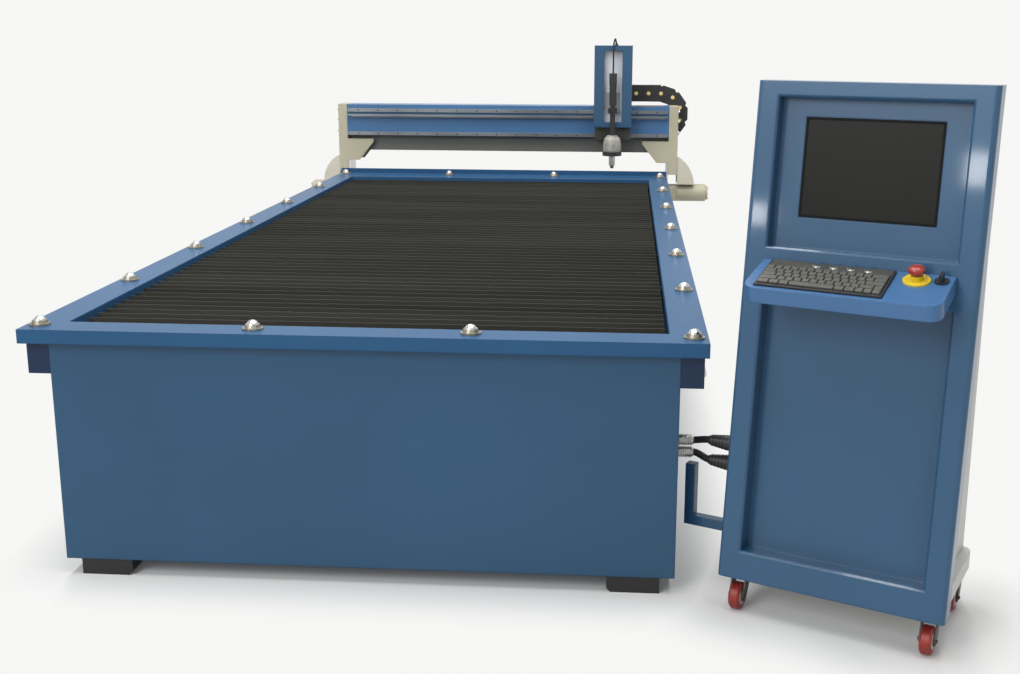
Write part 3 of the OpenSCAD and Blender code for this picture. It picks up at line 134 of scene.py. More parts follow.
def surface(
    name,
    colour,
    other=None,
    rough=(0.35, 0.5),
    metallic=0.0,
    patch=2.5,
    grain=350.0,
    stretch=(1.0, 1.0, 1.0),
    streak=(1.0, 1.0, 1.0),
    bump=0.08,
    edge=0.0,
    coat=0.0,
    shine=0.5,
):
    """A finish of two tones in soft patches, with a fine grain in roughness and bump."""
    mat = bpy.data.materials.new(name)
    mat.use_nodes = True
    tree = mat.node_tree
    shader = tree.nodes["Principled BSDF"]
    shader.inputs["Metallic"].default_value = metallic
    shader.inputs["Coat Weight"].default_value = coat
    shader.inputs["Coat Roughness"].default_value = COAT_ROUGH
    shader.inputs["Specular IOR Level"].default_value = shine
    where = tree.nodes.new("ShaderNodeTexCoord")

    patches = tree.nodes.new("ShaderNodeTexNoise")
    patches.inputs["Scale"].default_value = patch
    patches.inputs["Detail"].default_value = 6.0
    drawn = tree.nodes.new("ShaderNodeMapping")
    drawn.inputs["Scale"].default_value = streak
    tree.links.new(where.outputs["Object"], drawn.inputs["Vector"])
    tree.links.new(drawn.outputs["Vector"], patches.inputs["Vector"])
    tones = tree.nodes.new("ShaderNodeValToRGB")
    tones.color_ramp.elements[0].position = TONE_EDGES[0]
    tones.color_ramp.elements[0].color = other or mixed(colour, DARKER)
    tones.color_ramp.elements[1].position = TONE_EDGES[1]
    tones.color_ramp.elements[1].color = colour
    tree.links.new(patches.outputs["Fac"], tones.inputs["Fac"])
    tree.links.new(tones.outputs["Color"], shader.inputs["Base Color"])

    pull = tree.nodes.new("ShaderNodeMapping")
    pull.inputs["Scale"].default_value = stretch
    tree.links.new(where.outputs["Object"], pull.inputs["Vector"])
    fine = tree.nodes.new("ShaderNodeTexNoise")
    fine.inputs["Scale"].default_value = grain
    fine.inputs["Detail"].default_value = 3.0
    tree.links.new(pull.outputs["Vector"], fine.inputs["Vector"])
    spread = tree.nodes.new("ShaderNodeMapRange")
    spread.inputs["To Min"].default_value = rough[0]
    spread.inputs["To Max"].default_value = rough[1]
    tree.links.new(fine.outputs["Fac"], spread.inputs["Value"])
    tree.links.new(spread.outputs["Result"], shader.inputs["Roughness"])
    relief = tree.nodes.new("ShaderNodeBump")
    relief.inputs["Strength"].default_value = bump
    relief.inputs["Distance"].default_value = RELIEF_DEPTH
    tree.links.new(fine.outputs["Fac"], relief.inputs["Height"])
    if edge:
        soften = tree.nodes.new("ShaderNodeBevel")
        soften.samples = 4
        soften.inputs["Radius"].default_value = edge
        tree.links.new(soften.outputs["Normal"], relief.inputs["Normal"])
    tree.links.new(relief.outputs["Normal"], shader.inputs["Normal"])
    return mat


def shade_along(mat, source, axis, span, tones):
    """Scales the finish's colour from one tone to another along an axis of a place or a normal."""
    tree = mat.node_tree
    base = tree.nodes["Principled BSDF"].inputs["Base Color"]
    kind, output = source
    split = tree.nodes.new("ShaderNodeSeparateXYZ")
    tree.links.new(tree.nodes.new(kind).outputs[output], split.inputs["Vector"])
    tone = tree.nodes.new("ShaderNodeMapRange")
    tone.inputs["From Min"].default_value, tone.inputs["From Max"].default_value = span
    tone.inputs["To Min"].default_value, tone.inputs["To Max"].default_value = tones
    tree.links.new(split.outputs[axis], tone.inputs["Value"])
    scale = tree.nodes.new("ShaderNodeVectorMath")
    scale.operation = "SCALE"
    tree.links.new(base.links[0].from_socket, scale.inputs[0])
    tree.links.new(tone.outputs["Result"], scale.inputs["Scale"])
    tree.links.new(scale.outputs["Vector"], base)


NORMAL = ("ShaderNodeNewGeometry", "Normal")
PLACE = ("ShaderNodeTexCoord", "Object")


PAINT = {"rough": (0.24, 0.36), "edge": 0.006, "patch": 1.6, "shine": 0.3}
paint_blue = surface("paint_blue", srgb(40, 80, 112), coat=0.12, **PAINT)
paint_rim = surface("paint_rim", srgb(50, 89, 126), **{**PAINT, "shine": 0.06})
paint_beam = surface("paint_beam", srgb(74, 116, 160), coat=0.1, **PAINT)
# The shelf's blue is lighter than the console front's: painted light for the light that falls on it from the
# front.
paint_shelf = surface("paint_shelf", srgb(70, 111, 156), coat=0.1, **PAINT)
# The side beams' blue is darker than the tank's: painted shade for the rim's overhang above them.
side_beam_painted_shade = surface("side_beam_painted_shade", srgb(20, 44, 74), **PAINT)
paint_console = surface("paint_console", srgb(45, 86, 120), coat=0.4, **PAINT)
paint_cream = surface("paint_cream", srgb(184, 178, 154), rough=(0.4, 0.55), edge=0.004)
paint_cover = surface("paint_cover", srgb(206, 201, 184), rough=(0.4, 0.55), edge=0.004)
paint_grey = surface("paint_grey", srgb(206, 206, 202), rough=(0.4, 0.5), edge=0.003)
paint_dark = surface("paint_dark", srgb(112, 113, 107), rough=(0.45, 0.6), edge=0.003)
paint_black = surface("paint_black", srgb(26, 26, 27), rough=(0.5, 0.65), edge=0.003)
block_brown = surface("block_brown", srgb(112, 104, 94), rough=(0.4, 0.55), edge=0.002)
slat_steel = surface(
    "slat_steel", srgb(64, 63, 56), srgb(40, 39, 35), rough=(0.6, 0.8), metallic=0.2,
    patch=9.0, grain=500.0, streak=(0.05, 1.0, 0.05), bump=0.3,
)
# Faces that look up are darkened to 0.42 of the colour: painted shade on the slats' tops, against the light
# they catch from above.
shade_along(slat_steel, NORMAL, "Z", span=(0.0, 1.0), tones=(1.0, 0.42))
ground_steel = surface(
    "ground_steel", srgb(140, 146, 151), srgb(112, 117, 121), rough=(0.26, 0.4), metallic=1.0,
    grain=240.0, stretch=(0.04, 1.0, 1.0), bump=0.05, edge=0.001,
)
rail_steel = surface(
    "rail_steel", srgb(198, 200, 205), srgb(170, 172, 178), rough=(0.2, 0.34), metallic=1.0,
    grain=240.0, stretch=(1.0, 0.04, 1.0), bump=0.05, edge=0.001,
)
bright_steel = surface("bright_steel", srgb(200, 200, 198), rough=(0.08, 0.2), metallic=1.0, bump=0.02)
zinc = surface("zinc", srgb(190, 190, 186), srgb(160, 158, 150), rough=(0.28, 0.42), metallic=1.0, patch=40.0)
dull_zinc = surface(
    "dull_zinc", srgb(168, 164, 152), srgb(136, 132, 120), rough=(0.32, 0.46), metallic=1.0, patch=40.0
)
machined = surface(
    "machined", srgb(212, 214, 216), srgb(190, 192, 196), rough=(0.25, 0.4), metallic=0.9,
    grain=300.0, stretch=(1.0, 1.0, 0.05), bump=0.06, edge=0.001,
)
machined_dark = surface(
    "machined_dark", srgb(92, 90, 84), srgb(74, 72, 67), rough=(0.35, 0.5), metallic=0.5,
    grain=300.0, stretch=(1.0, 1.0, 0.05), bump=0.06, edge=0.001,
)
panel_white = surface("panel_white", srgb(224, 228, 236), rough=(0.3, 0.42), metallic=0.1, edge=0.001)
slide_pale = surface("slide_pale", srgb(164, 166, 170), rough=(0.35, 0.5), metallic=0.3, edge=0.001)
cover_front = nodes["lift_slide"].matrix_world.inverted() @ Vector(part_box("head_cover")[0])
shade_along(slide_pale, PLACE, "Y", span=(cover_front.y, cover_front.y + 0.002), tones=(0.06, 1.0))
chain_black = surface("chain_black", srgb(30, 30, 31), rough=(0.42, 0.6), bump=0.12, grain=600.0)
plastic_black = surface("plastic_black", srgb(36, 36, 38), rough=(0.38, 0.55), bump=0.1, grain=700.0)
key_grey = surface("key_grey", srgb(92, 91, 84), rough=(0.4, 0.55), bump=0.08, grain=900.0)
strip_grey = surface(
    "strip_grey", srgb(96, 95, 87), srgb(78, 77, 70), rough=(0.3, 0.42), metallic=0.4, patch=20.0
)
rubber_black = surface("rubber_black", srgb(24, 24, 25), rough=(0.5, 0.7), bump=0.15, grain=800.0)
collar_grey = surface("collar_grey", srgb(178, 175, 166), srgb(140, 137, 128), rough=(0.35, 0.5), patch=30.0)
pin_pale = surface("pin_pale", srgb(232, 208, 130), rough=(0.35, 0.5))
fork_dark = surface(
    "fork_dark", srgb(82, 78, 74), srgb(54, 51, 48), rough=(0.35, 0.5), metallic=0.6, patch=30.0
)
brass = surface("brass", srgb(192, 160, 92), srgb(168, 134, 70), rough=(0.25, 0.4), metallic=1.0, patch=30.0)
screen_glass = surface(
    "screen_glass", srgb(23, 23, 21), srgb(19, 19, 17), rough=(0.3, 0.4), bump=0.01, shine=0.15
)
bezel_black = surface("bezel_black", srgb(16, 16, 16), rough=(0.5, 0.65), shine=0.12)
stop_red = surface("stop_red", srgb(164, 50, 33), rough=(0.25, 0.38), coat=0.3)
stop_yellow = surface("stop_yellow", srgb(226, 196, 40), rough=(0.3, 0.42))
wheel_red = surface("wheel_red", srgb(158, 48, 36), srgb(124, 34, 26), rough=(0.35, 0.55), patch=30.0)

NODE_FINISH = {
    paint_blue: ["tank", "guard_bar"],
    paint_rim: ["rim_frame"],
    paint_beam: ["gantry_beam"],
    side_beam_painted_shade: ["side_beams"],
    paint_shelf: ["keyboard_shelf"],
    paint_console: ["console_front", "head_cover"],
    paint_cream: ["gantry_legs", "drive_motors"],
    paint_cover: ["drive_covers"],
    paint_grey: ["console_cabinet", "console_door"],
    paint_dark: ["beam_stiffener"],
    paint_black: ["tank_feet", "x_motor", "door_latch"],
    block_brown: ["x_blocks"],
    slat_steel: ["slats", "slat_support"],
    ground_steel: ["x_rails", "x_rack"],
    rail_steel: ["guide_rails", "racks", "guide_blocks"],
    bright_steel: ["transfer_balls", "button_1", "button_2", "button_3", "button_4", "lift_screw"],
    dull_zinc: ["ball_housings"],
    zinc: ["pinion_left", "pinion_right", "x_pinion", "chain_tray", "torch_tip"],
    fork_dark: ["caster_fork_1", "caster_fork_2", "rear_forks"],
    machined: ["foot_plates"],
    machined_dark: ["carriage_plate"],
    panel_white: ["head_panel"],
    slide_pale: ["lift_slide"],
    chain_black: ["chain_upper", "chain_loop"],
    plastic_black: ["torch", "mode_knob", "cable_connectors"],
    key_grey: ["keyboard"],
    rubber_black: ["control_cables", "torch_lead"],
    collar_grey: ["torch_collar"],
    screen_glass: ["monitor_screen"],
    stop_red: ["estop_head"],
    stop_yellow: ["estop_base"],
    wheel_red: ["caster_wheel_1", "caster_wheel_2", "caster_wheel_3", "caster_wheel_4"],
}
for finish, names in NODE_FINISH.items():
    for name in names:
        mesh = nodes[name].data
        mesh.materials.clear()
        mesh.materials.append(finish)


# Mesh helpers


def finish_piece(name, bm, finish, body=None, smooth=None):
    """The mesh becomes an object with its finish, and rides on a body."""
    bmesh.ops.recalc_face_normals(bm, faces=bm.faces)
    mesh = bpy.data.meshes.new(name)
    bm.to_mesh(mesh)
    bm.free()
    mesh.materials.append(finish)
    if smooth is not None:
        mesh.shade_smooth()
        mesh.set_sharp_from_angle(angle=math.radians(smooth))
    obj = bpy.data.objects.new(name, mesh)
    bpy.context.scene.collection.objects.link(obj)
    if body:
        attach(obj, body)
    return obj


def add_box(bm, lo, hi, place=Matrix.Identity(4), bevel=0.0, segments=2):
    """A box from one corner to the other, with rounded edges."""
    lo, hi = Vector(lo), Vector(hi)
    size = hi - lo
    made = bmesh.ops.create_cube(bm, size=1.0)
    verts = made["verts"]
    for v in verts:
        v.co = Vector(((v.co.x + 0.5) * size.x, (v.co.y + 0.5) * size.y, (v.co.z + 0.5) * size.z)) + lo
    if bevel:
        edges = list({e for v in verts for e in v.link_edges})
        made = bmesh.ops.bevel(
            bm, geom=edges, offset=bevel, segments=segments, profile=0.6, affect="EDGES"
        )
        verts = list({v for f in made["faces"] for v in f.verts})
        verts = list({w for v in verts for f in v.link_faces for w in f.verts})
    for v in verts:
        v.co = place @ v.co


def circle(r, z, sides):
    """Points round the Z axis at one height."""
    step = 2 * math.pi / sides
    return [Vector((r * math.cos(k * step), r * math.sin(k * step), z)) for k in range(sides)]


def add_lathe(bm, profile, place, sides=24):
    """A closed turned form about Z: the profile is radius and height from axis to axis."""
    rings = []
    for r, z in profile:
        if r < 1e-6:
            rings.append([bm.verts.new(place @ Vector((0, 0, z)))])
        else:
            rings.append([bm.verts.new(place @ p) for p in circle(r, z, sides)])
    for a, b in zip(rings, rings[1:]):
        for k in range(sides):
            k2 = (k + 1) % sides
            quad = [a[k % len(a)], a[k2 % len(a)], b[k2 % len(b)], b[k % len(b)]]
            bm.faces.new(list(dict.fromkeys(quad)))


def add_ring(bm, profile, place, sides=24):
    """A turned ring: the profile is a closed loop of radius and height, off the axis."""
    rings = [[bm.verts.new(place @ p) for p in circle(r, z, sides)] for r, z in profile]
    for i in range(len(rings)):
        a, b = rings[i], rings[(i + 1) % len(rings)]
        for k in range(sides):
            k2 = (k + 1) % sides
            bm.faces.new([a[k], a[k2], b[k2], b[k]])


def add_tube(bm, points, radius, sides=10):
    """A round tube along a list of points, closed at both ends."""
    points = [Vector(p) for p in points]
    last = len(points) - 1
    side = None
    rings = []
    for i, p in enumerate(points):
        along = (points[min(i + 1, last)] - points[max(i - 1, 0)]).normalized()
        if side is None:
            side = along.orthogonal().normalized()
        side = (side - along * side.dot(along)).normalized()
        other = along.cross(side)
        rings.append(
            [
                bm.verts.new(p + radius * (math.cos(a) * side + math.sin(a) * other))
                for a in (2 * math.pi * k / sides for k in range(sides))
            ]
        )
    for a, b in zip(rings, rings[1:]):
        for k in range(sides):
            k2 = (k + 1) % sides
            bm.faces.new([a[k], a[k2], b[k2], b[k]])
    bm.faces.new(rings[0])
    bm.faces.new(list(reversed(rings[-1])))


def bezier(pulls, t):
    """A point along a curve with four control points."""
    a, b, c, d = pulls
    r = 1 - t
    return r**3 * a + 3 * r * r * t * b + 3 * r * t * t * c + t**3 * d


def add_prism(bm, outline, depth, place, bevel=0.0):
    """A plate: its outline in the local XZ plane, its depth along local Y."""
    front = [bm.verts.new(Vector((x, 0, z))) for x, z in outline]
    back = [bm.verts.new(Vector((x, depth, z))) for x, z in outline]
    n = len(outline)
    faces = [bm.faces.new(front), bm.faces.new(list(reversed(back)))]
    for k in range(n):
        k2 = (k + 1) % n
        faces.append(bm.faces.new([front[k], back[k], back[k2], front[k2]]))
    verts = front + back
    if bevel:
        rim = list({e for f in faces[:2] for e in f.edges})
        made = bmesh.ops.bevel(bm, geom=rim, offset=bevel, segments=2, profile=0.6, affect="EDGES")
        near = {v for f in made["faces"] for v in f.verts}
        verts = list({w for v in near for f in v.link_faces for w in f.verts})
    for v in verts:
        v.co = place @ v.co


def facing(axis):
    """A turn that takes local +Z to the given direction."""
    return Vector(axis).to_track_quat("Z", "Y").to_matrix().to_4x4()


def add_socket_screw(bm, place, d, h, sides=12):
    """A cap screw's head with a hexagon socket, standing on local z = 0."""
    r, hole, deep = d / 2, d * 0.29, h * 0.55
    profile = [(0, 0), (r, 0), (r, h * 0.8), (r * 0.88, h), (hole, h), (hole, h - deep), (0, h - deep)]
    add_lathe(bm, profile, place, sides)


def add_hex_bolt(bm, place, d, h):
    """A hexagon head on a washer, standing on local z = 0."""
    washer = h * 0.25
    add_lathe(bm, [(0, 0), (d * 0.72, 0), (d * 0.72, washer), (0, washer)], place, 20)
    r = d / 2 * 1.12
    add_lathe(bm, [(0, washer), (r, washer), (r, h * 0.9), (r * 0.86, h), (0, h)], place, 6)


def screws(name, spots, axis, d, h, body, finish=zinc, hexagon=False):
    bm = bmesh.new()
    aim = facing(axis)
    for p in spots:
        place = Matrix.Translation(p) @ aim
        if hexagon:
            add_hex_bolt(bm, place, d, h)
        else:
            add_socket_screw(bm, place, d, h)
    return finish_piece(name, bm, finish, body, smooth=35)


# The table


def ball_spots():
    """Ball transfer places on the rim, from its own box."""
    side, end, across, along = 0.040, 0.062, 4, 7
    half = (RIM_HI[0] - RIM_LO[0]) / 2 - side
    length = RIM_HI[1] - RIM_LO[1]
    rows = [(-half + 2 * half * i / (across - 1), y) for i in range(across) for y in (end, length - end)]
    for i in range(1, along - 1):
        y = end + (length - 2 * end) * i / (along - 1)
        rows += [(-half, y), (half, y)]
    return rows


def make_ball_screws():
    """Three small screws in the flange of each ball unit."""
    ring, thick = 0.0258, 0.005
    spots = []
    for x, y in ball_spots():
        for k in range(3):
            a = math.radians(30 + 120 * k)
            spots.append(at(x + ring * math.cos(a), y + ring * math.sin(a), RIM_TOP + thick))
    screws("ball_unit_screws", spots, (0, 0, 1), d=0.0052, h=0.0022, body="table")


def make_slats():
    """The slats with tops that cutting has worn uneven, inside the solid slats' outline."""
    lo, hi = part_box("slats")
    thick, pitch, steps, wear = 0.004, 0.060, 90, 0.0016
    count = round((hi[1] - lo[1] - thick) / pitch) + 1
    bm = bmesh.new()
    for i in range(count):
        y = lo[1] + i * pitch
        dips = [wear * random.random() ** 2 for _ in range(steps + 1)]
        rows = []
        for k in range(steps + 1):
            x = lo[0] + (hi[0] - lo[0]) * k / steps
            z = hi[2] - dips[k]
            corners = ((x, y, lo[2]), (x, y + thick, lo[2]), (x, y + thick, z), (x, y, z))
            rows.append([bm.verts.new(p) for p in corners])
        for a, b in zip(rows, rows[1:]):
            for k in range(4):
                k2 = (k + 1) % 4
                bm.faces.new([a[k], a[k2], b[k2], b[k]])
        bm.faces.new(rows[0])
        bm.faces.new(list(reversed(rows[-1])))
    piece = finish_piece("worn_slats", bm, slat_steel, "table")
    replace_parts(piece, "slats")


def make_rail_screws():
    """Dark screw heads along the outer faces of the table's rails."""
    lo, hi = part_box("guide_rails")
    pitch, first = 0.12, 0.06
    z = (lo[2] + hi[2]) / 2
    count = int((hi[1] - lo[1] - first) / pitch)
    ys = [lo[1] + first + i * pitch for i in range(count + 1)]
    for side, x, way in (("left", lo[0], -1), ("right", hi[0], 1)):
        spots = [Vector((x, y, z)) for y in ys]
        screws("rail_screws_" + side, spots, (way, 0, 0), 0.009, 0.001, body="table", finish=plastic_black)


def make_connectors():
    """Ribbed bright glands on the tank, dark plugs on the console, and the cables between them."""
    plug_len, gland_out, y, mid_z, radius = 0.130, 0.048, 0.150, 0.403, 0.010
    plug_rise, gland_rise, steps = 0.029, 0.018, 16
    tank_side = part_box("tank")[1][0]
    away = (CONSOLE.to_3x3() @ Vector((-1, 0, 0))).normalized()
    glands, plugs, cables = bmesh.new(), bmesh.new(), bmesh.new()
    for k in (1, -1):
        z = mid_z + k * plug_rise
        plug = CONSOLE @ shift(CABINET_IN, y, z) @ facing((-1, 0, 0))
        profile = [(0, 0), (0.025, 0), (0.025, 0.011), (0.022, 0.0125), (0.022, 0.030), (0.0205, 0.032)]
        profile += [(0.0205, 0.036), (0.022, 0.038), (0.022, 0.073)]
        for i in range(5):
            h, r = 0.076 + i * 0.010, 0.0215 - i * 0.0013
            profile += [(r, h), (r, h + 0.006), (r - 0.0022, h + 0.007), (r - 0.0022, h + 0.009)]
        profile += [(0.0135, 0.128), (0.0125, plug_len), (0, plug_len)]
        add_lathe(plugs, profile, plug, 32)
        end = CONSOLE @ Vector((CABINET_IN - plug_len, y, z))
        root = Vector((tank_side, end.y + math.sin(-CONSOLE_YAW) * plug_len / 2, mid_z + k * gland_rise))
        profile = [(0, 0), (0.0174, 0), (0.0174, 0.004), (0.013, 0.005)]
        for i in range(6):
            h = 0.007 + i * 0.0062
            profile += [(0.013, h), (0.016, h + 0.001), (0.016, h + 0.0042), (0.013, h + 0.0052)]
        profile += [(0.013, 0.046), (0.0118, gland_out), (0, gland_out)]
        add_lathe(glands, profile, Matrix.Translation(root) @ facing((1, 0, 0)), 32)
        start = root + Vector((gland_out, 0, 0))
        reach = (end.x - start.x) / 3
        pulls = [start, start + Vector((reach, 0, 0)), end + away * reach, end]
        add_tube(cables, [bezier(pulls, i / steps) for i in range(steps + 1)], radius, 20)
    bright = finish_piece("tank_glands", glands, zinc, "table", smooth=40)
    finish_piece("console_plugs", plugs, plastic_black, "table", smooth=40)
    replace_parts(bright, "cable_connectors")
    tubes = finish_piece("control_cable_tubes", cables, rubber_black, "table", smooth=60)
    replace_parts(tubes, "control_cables")


# The gantry


def make_gantry_bolts():
    """Bolts on the legs, screws along the beam's rails and on the ends of the motors."""
    lo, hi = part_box("gantry_legs")
    y0, y1 = lo[1], hi[1]
    beam_in, beam_bolts = 0.030, (0.965, 1.035, 1.095)
    foot_in, foot_bolt = 0.025, 0.742
    spots = [(y, z) for y in (y0 + beam_in, y1 - beam_in) for z in beam_bolts]
    spots += [(y, foot_bolt) for y in (y0 + foot_in, y1 - foot_in)]
    for side, x, way in (("right", hi[0], 1), ("left", lo[0], -1)):
        heads = [Vector((x, y, z)) for y, z in spots]
        screws("leg_bolts_" + side, heads, (way, 0, 0), d=0.016, h=0.010, body="gantry", hexagon=True)
    rail_lo, rail_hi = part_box("x_rails")
    pitch, first, half = 0.12, 0.065, 0.010
    count = int((rail_hi[0] - rail_lo[0] - first) / pitch)
    spots = [
        Vector((rail_lo[0] + first + i * pitch, rail_lo[1], z))
        for i in range(count + 1)
        for z in (rail_lo[2] + half, rail_hi[2] - half)
    ]
    screws("beam_rail_screws", spots, (0, -1, 0), d=0.009, h=0.001, body="gantry", finish=plastic_black)
    motor_lo, motor_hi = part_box("drive_motors")
    mid_y, mid_z = (motor_lo[1] + motor_hi[1]) / 2, (motor_lo[2] + motor_hi[2]) / 2
    reach = 0.030
    for side, x, way in (("left", motor_lo[0], -1), ("right", motor_hi[0], 1)):
        spots = [Vector((x, mid_y + a * reach, mid_z + b * reach)) for a in (-1, 1) for b in (-1, 1)]
        screws("motor_screws_" + side, spots, (way, 0, 0), d=0.009, h=0.004, body="gantry")


def make_beam_strip():
    """A thin brass strip on the beam's top, right of the torch head."""
    x0, x1, y0, y1, thick = 0.775, 0.925, 4.205, 4.245, 0.003
    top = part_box("gantry_beam")[1][2]
    bm = bmesh.new()
    add_box(bm, at(x0, y0, top), at(x1, y1, top + thick), bevel=0.001)
    finish_piece("beam_strip", bm, brass, "gantry")


# Energy chain. The loop moves half as far as the carriage, so every link is given a share of the
# carriage's travel: 1 at the carriage, a half at the loop, 0 at the fixed end.
CHAIN_PITCH = 0.075
CHAIN_W = 0.080
CHAIN_H = 0.098
CHAIN_UP = 5
CHAIN_TURN = 5
CHAIN_LOW = 12
CHAIN_R = CHAIN_PITCH / 2 / math.sin(math.pi / 2 / CHAIN_TURN)


def ride_in_share(obj, share):
    """Bakes a piece's place into its mesh.

    Newton's steps find where a smoothstep ease gives the piece's share of the carriage's travel along
    the beam; the result is not used, and the piece is moved by nothing and attached to no body.
    """
    span, steps, flattest = 2000.0, 40, 1e-3
    t = 0.5
    for _ in range(steps):
        t -= (t * t * (3 - 2 * t) - share) / max(6 * t * (1 - t), flattest)
        t = min(max(t, 0.0), 1.0)
    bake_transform(obj)


def make_link(name, place, inner, share, size=1.0, pin=0.0115):
    """One link: two eight-sided cheeks, two cross bars, and pale pins on the outer links."""
    cheek, gap, nested = 0.006, 0.0003, 0.02
    y0 = (cheek + gap) if inner else 0.0
    nose, nose_h, crown, half = 0.065 * size, 0.013 * size, 0.036 * size, CHAIN_H / 2 * size
    upper = [(nose, nose_h), (crown, half), (-crown, half), (-nose, nose_h)]
    outline = upper + [(-x, -z) for x, z in upper]
    inset = (1.0 - size) * nested
    bm = bmesh.new()
    for y in (y0 + inset, CHAIN_W - y0 - cheek - inset):
        add_prism(bm, outline, cheek, place @ shift(0, y, 0), bevel=0.0012)
    bar_l, bar_h, bar_in, bar_drop = 0.008, 0.006, 0.004, 0.001
    for z in (-half + bar_drop, half - bar_h - bar_drop):
        lo, hi = (-bar_l / 2, y0 + bar_in, z), (bar_l / 2, CHAIN_W - y0 - bar_in, z + bar_h)
        add_box(bm, lo, hi, place, bevel=0.001)
    obj = finish_piece(name, bm, chain_black)
    if not inner and size == 1.0:
        obj.data.materials.append(pin_pale)
        pins = bmesh.new()
        pins.from_mesh(obj.data)
        before = len(pins.faces)
        for x in (-CHAIN_PITCH / 2, CHAIN_PITCH / 2):
            for y, axis in ((0.0, (0, -1, 0)), (CHAIN_W, (0, 1, 0))):
                profile = [(0, 0), (pin, 0), (pin, 0.0012), (pin * 0.8, 0.002), (0, 0.002)]
                add_lathe(pins, profile, place @ shift(x, y, 0) @ facing(axis), 16)
        pins.faces.ensure_lookup_table()
        for f in pins.faces[before:]:
            f.material_index = 1
        bmesh.ops.recalc_face_normals(pins, faces=pins.faces)
        pins.to_mesh(obj.data)
        pins.free()
    ride_in_share(obj, share)
    return obj


def make_chain():
    """The upper run, the bend and the lower run.

    Each upper link has copies nested in it, each with a share of its own.
    """
    pin_h = 0.002
    lo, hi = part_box("chain_upper")
    y0 = lo[1] + pin_h
    top_z = (lo[2] + hi[2]) / 2
    mid_z, low_z = top_z - CHAIN_R, top_z - 2 * CHAIN_R
    nose = 0.065 - CHAIN_PITCH / 2
    anchor = lo[0] + nose
    bend = anchor + CHAIN_UP * CHAIN_PITCH
    links = []
    copies, shrink = 3, 0.02
    for i in range(CHAIN_UP):
        place = shift(anchor + (i + 0.5) * CHAIN_PITCH, y0, top_z)
        for c in range(copies):
            order = i * copies + c
            share = 1.0 - 0.5 * (order + 0.5) / (CHAIN_UP * copies)
            size = 1.0 - shrink * c
            links.append(make_link(f"chain_up_{i}_{c}", place, i % 2 == 1, share, size))
    upper = links[0]
    step = math.pi / CHAIN_TURN
    reach = CHAIN_R * math.cos(step / 2)
    odd = CHAIN_UP % 2
    for i in range(CHAIN_TURN):
        place = shift(bend, y0, mid_z) @ turn((i + 0.5) * step, "Y") @ shift(0, 0, reach)
        links.append(make_link(f"chain_turn_{i}", place, (i + odd) % 2 == 1, 0.5))
    loop = links[-1]
    for i in range(CHAIN_LOW):
        place = shift(bend - (i + 0.5) * CHAIN_PITCH, y0, low_z)
        share = 0.5 * (1.0 - (i + 0.5) / CHAIN_LOW)
        links.append(make_link(f"chain_low_{i}", place, (i + odd + CHAIN_TURN) % 2 == 1, share, pin=0.007))
    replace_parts(upper, "chain_upper")
    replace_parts(loop, "chain_loop")


# The torch


def make_torch():
    """The grey collar round the torch, and the lead that loops over into the head's cover."""
    lo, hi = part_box("torch_collar")
    mid = Vector(((lo[0] + hi[0]) / 2, (lo[1] + hi[1]) / 2, lo[2]))
    r0, r1, h, bore = 0.0525, 0.033, hi[2] - lo[2], 0.0151
    edge, arch_from, arch_h, groove = 0.005, 0.058, 0.05, 0.002
    rounded = [(r0 - edge + edge * math.sin(a), edge - edge * math.cos(a)) for a in (0, 0.8, math.pi / 2)]
    crown = [
        (r1 + (r0 - r1) * math.cos(a), h - arch_from + arch_h * math.sin(a))
        for a in (k * math.pi / 12 for k in range(0, 7))
    ]
    band = [(r0, 0.016), (r0 - groove, 0.017), (r0 - groove, 0.020), (r0, 0.021)]
    profile = [(bore, 0)] + rounded + band + crown + [(r1, h - 0.004), (r1 - 0.003, h), (bore, h)]
    bm = bmesh.new()
    add_ring(bm, profile, Matrix.Translation(mid), 40)
    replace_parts(finish_piece("collar_body", bm, collar_grey, "torch", smooth=40), "torch_collar")

    start = mid + Vector((0, 0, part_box("torch_lead")[0][2] - mid.z))
    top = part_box("head_cover")[1][2]
    rise, neck, reach, side, radius = top - start.z, 0.004, 0.066, 0.016, 0.0047
    straight, bends = 4, 12
    route = [start + Vector((0, 0, k * rise / straight)) for k in range(straight)]
    for k in range(bends + 1):
        a = math.pi * k / bends
        out, over = reach * (1 - math.cos(a)) / 2, neck + reach * math.sin(a) / 2
        route.append(start + Vector((side * k / bends, out, rise + over)))
    route.append(start + Vector((side, reach, rise)))
    bm = bmesh.new()
    add_tube(bm, route, radius)
    lead = finish_piece("torch_lead_tube", bm, rubber_black, smooth=60)
    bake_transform(lead)
    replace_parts(lead, "torch_lead")
    bm = bmesh.new()
    gland = Matrix.Translation(start + Vector((side, reach, rise)))
    profile = [(radius, 0), (0.011, 0), (0.011, 0.005), (0.008, 0.007), (0.0075, 0.012), (radius, 0.012)]
    add_ring(bm, profile, gland, 20)
    finish_piece("lead_gland", bm, plastic_black, "carriage", smooth=40)


# The console


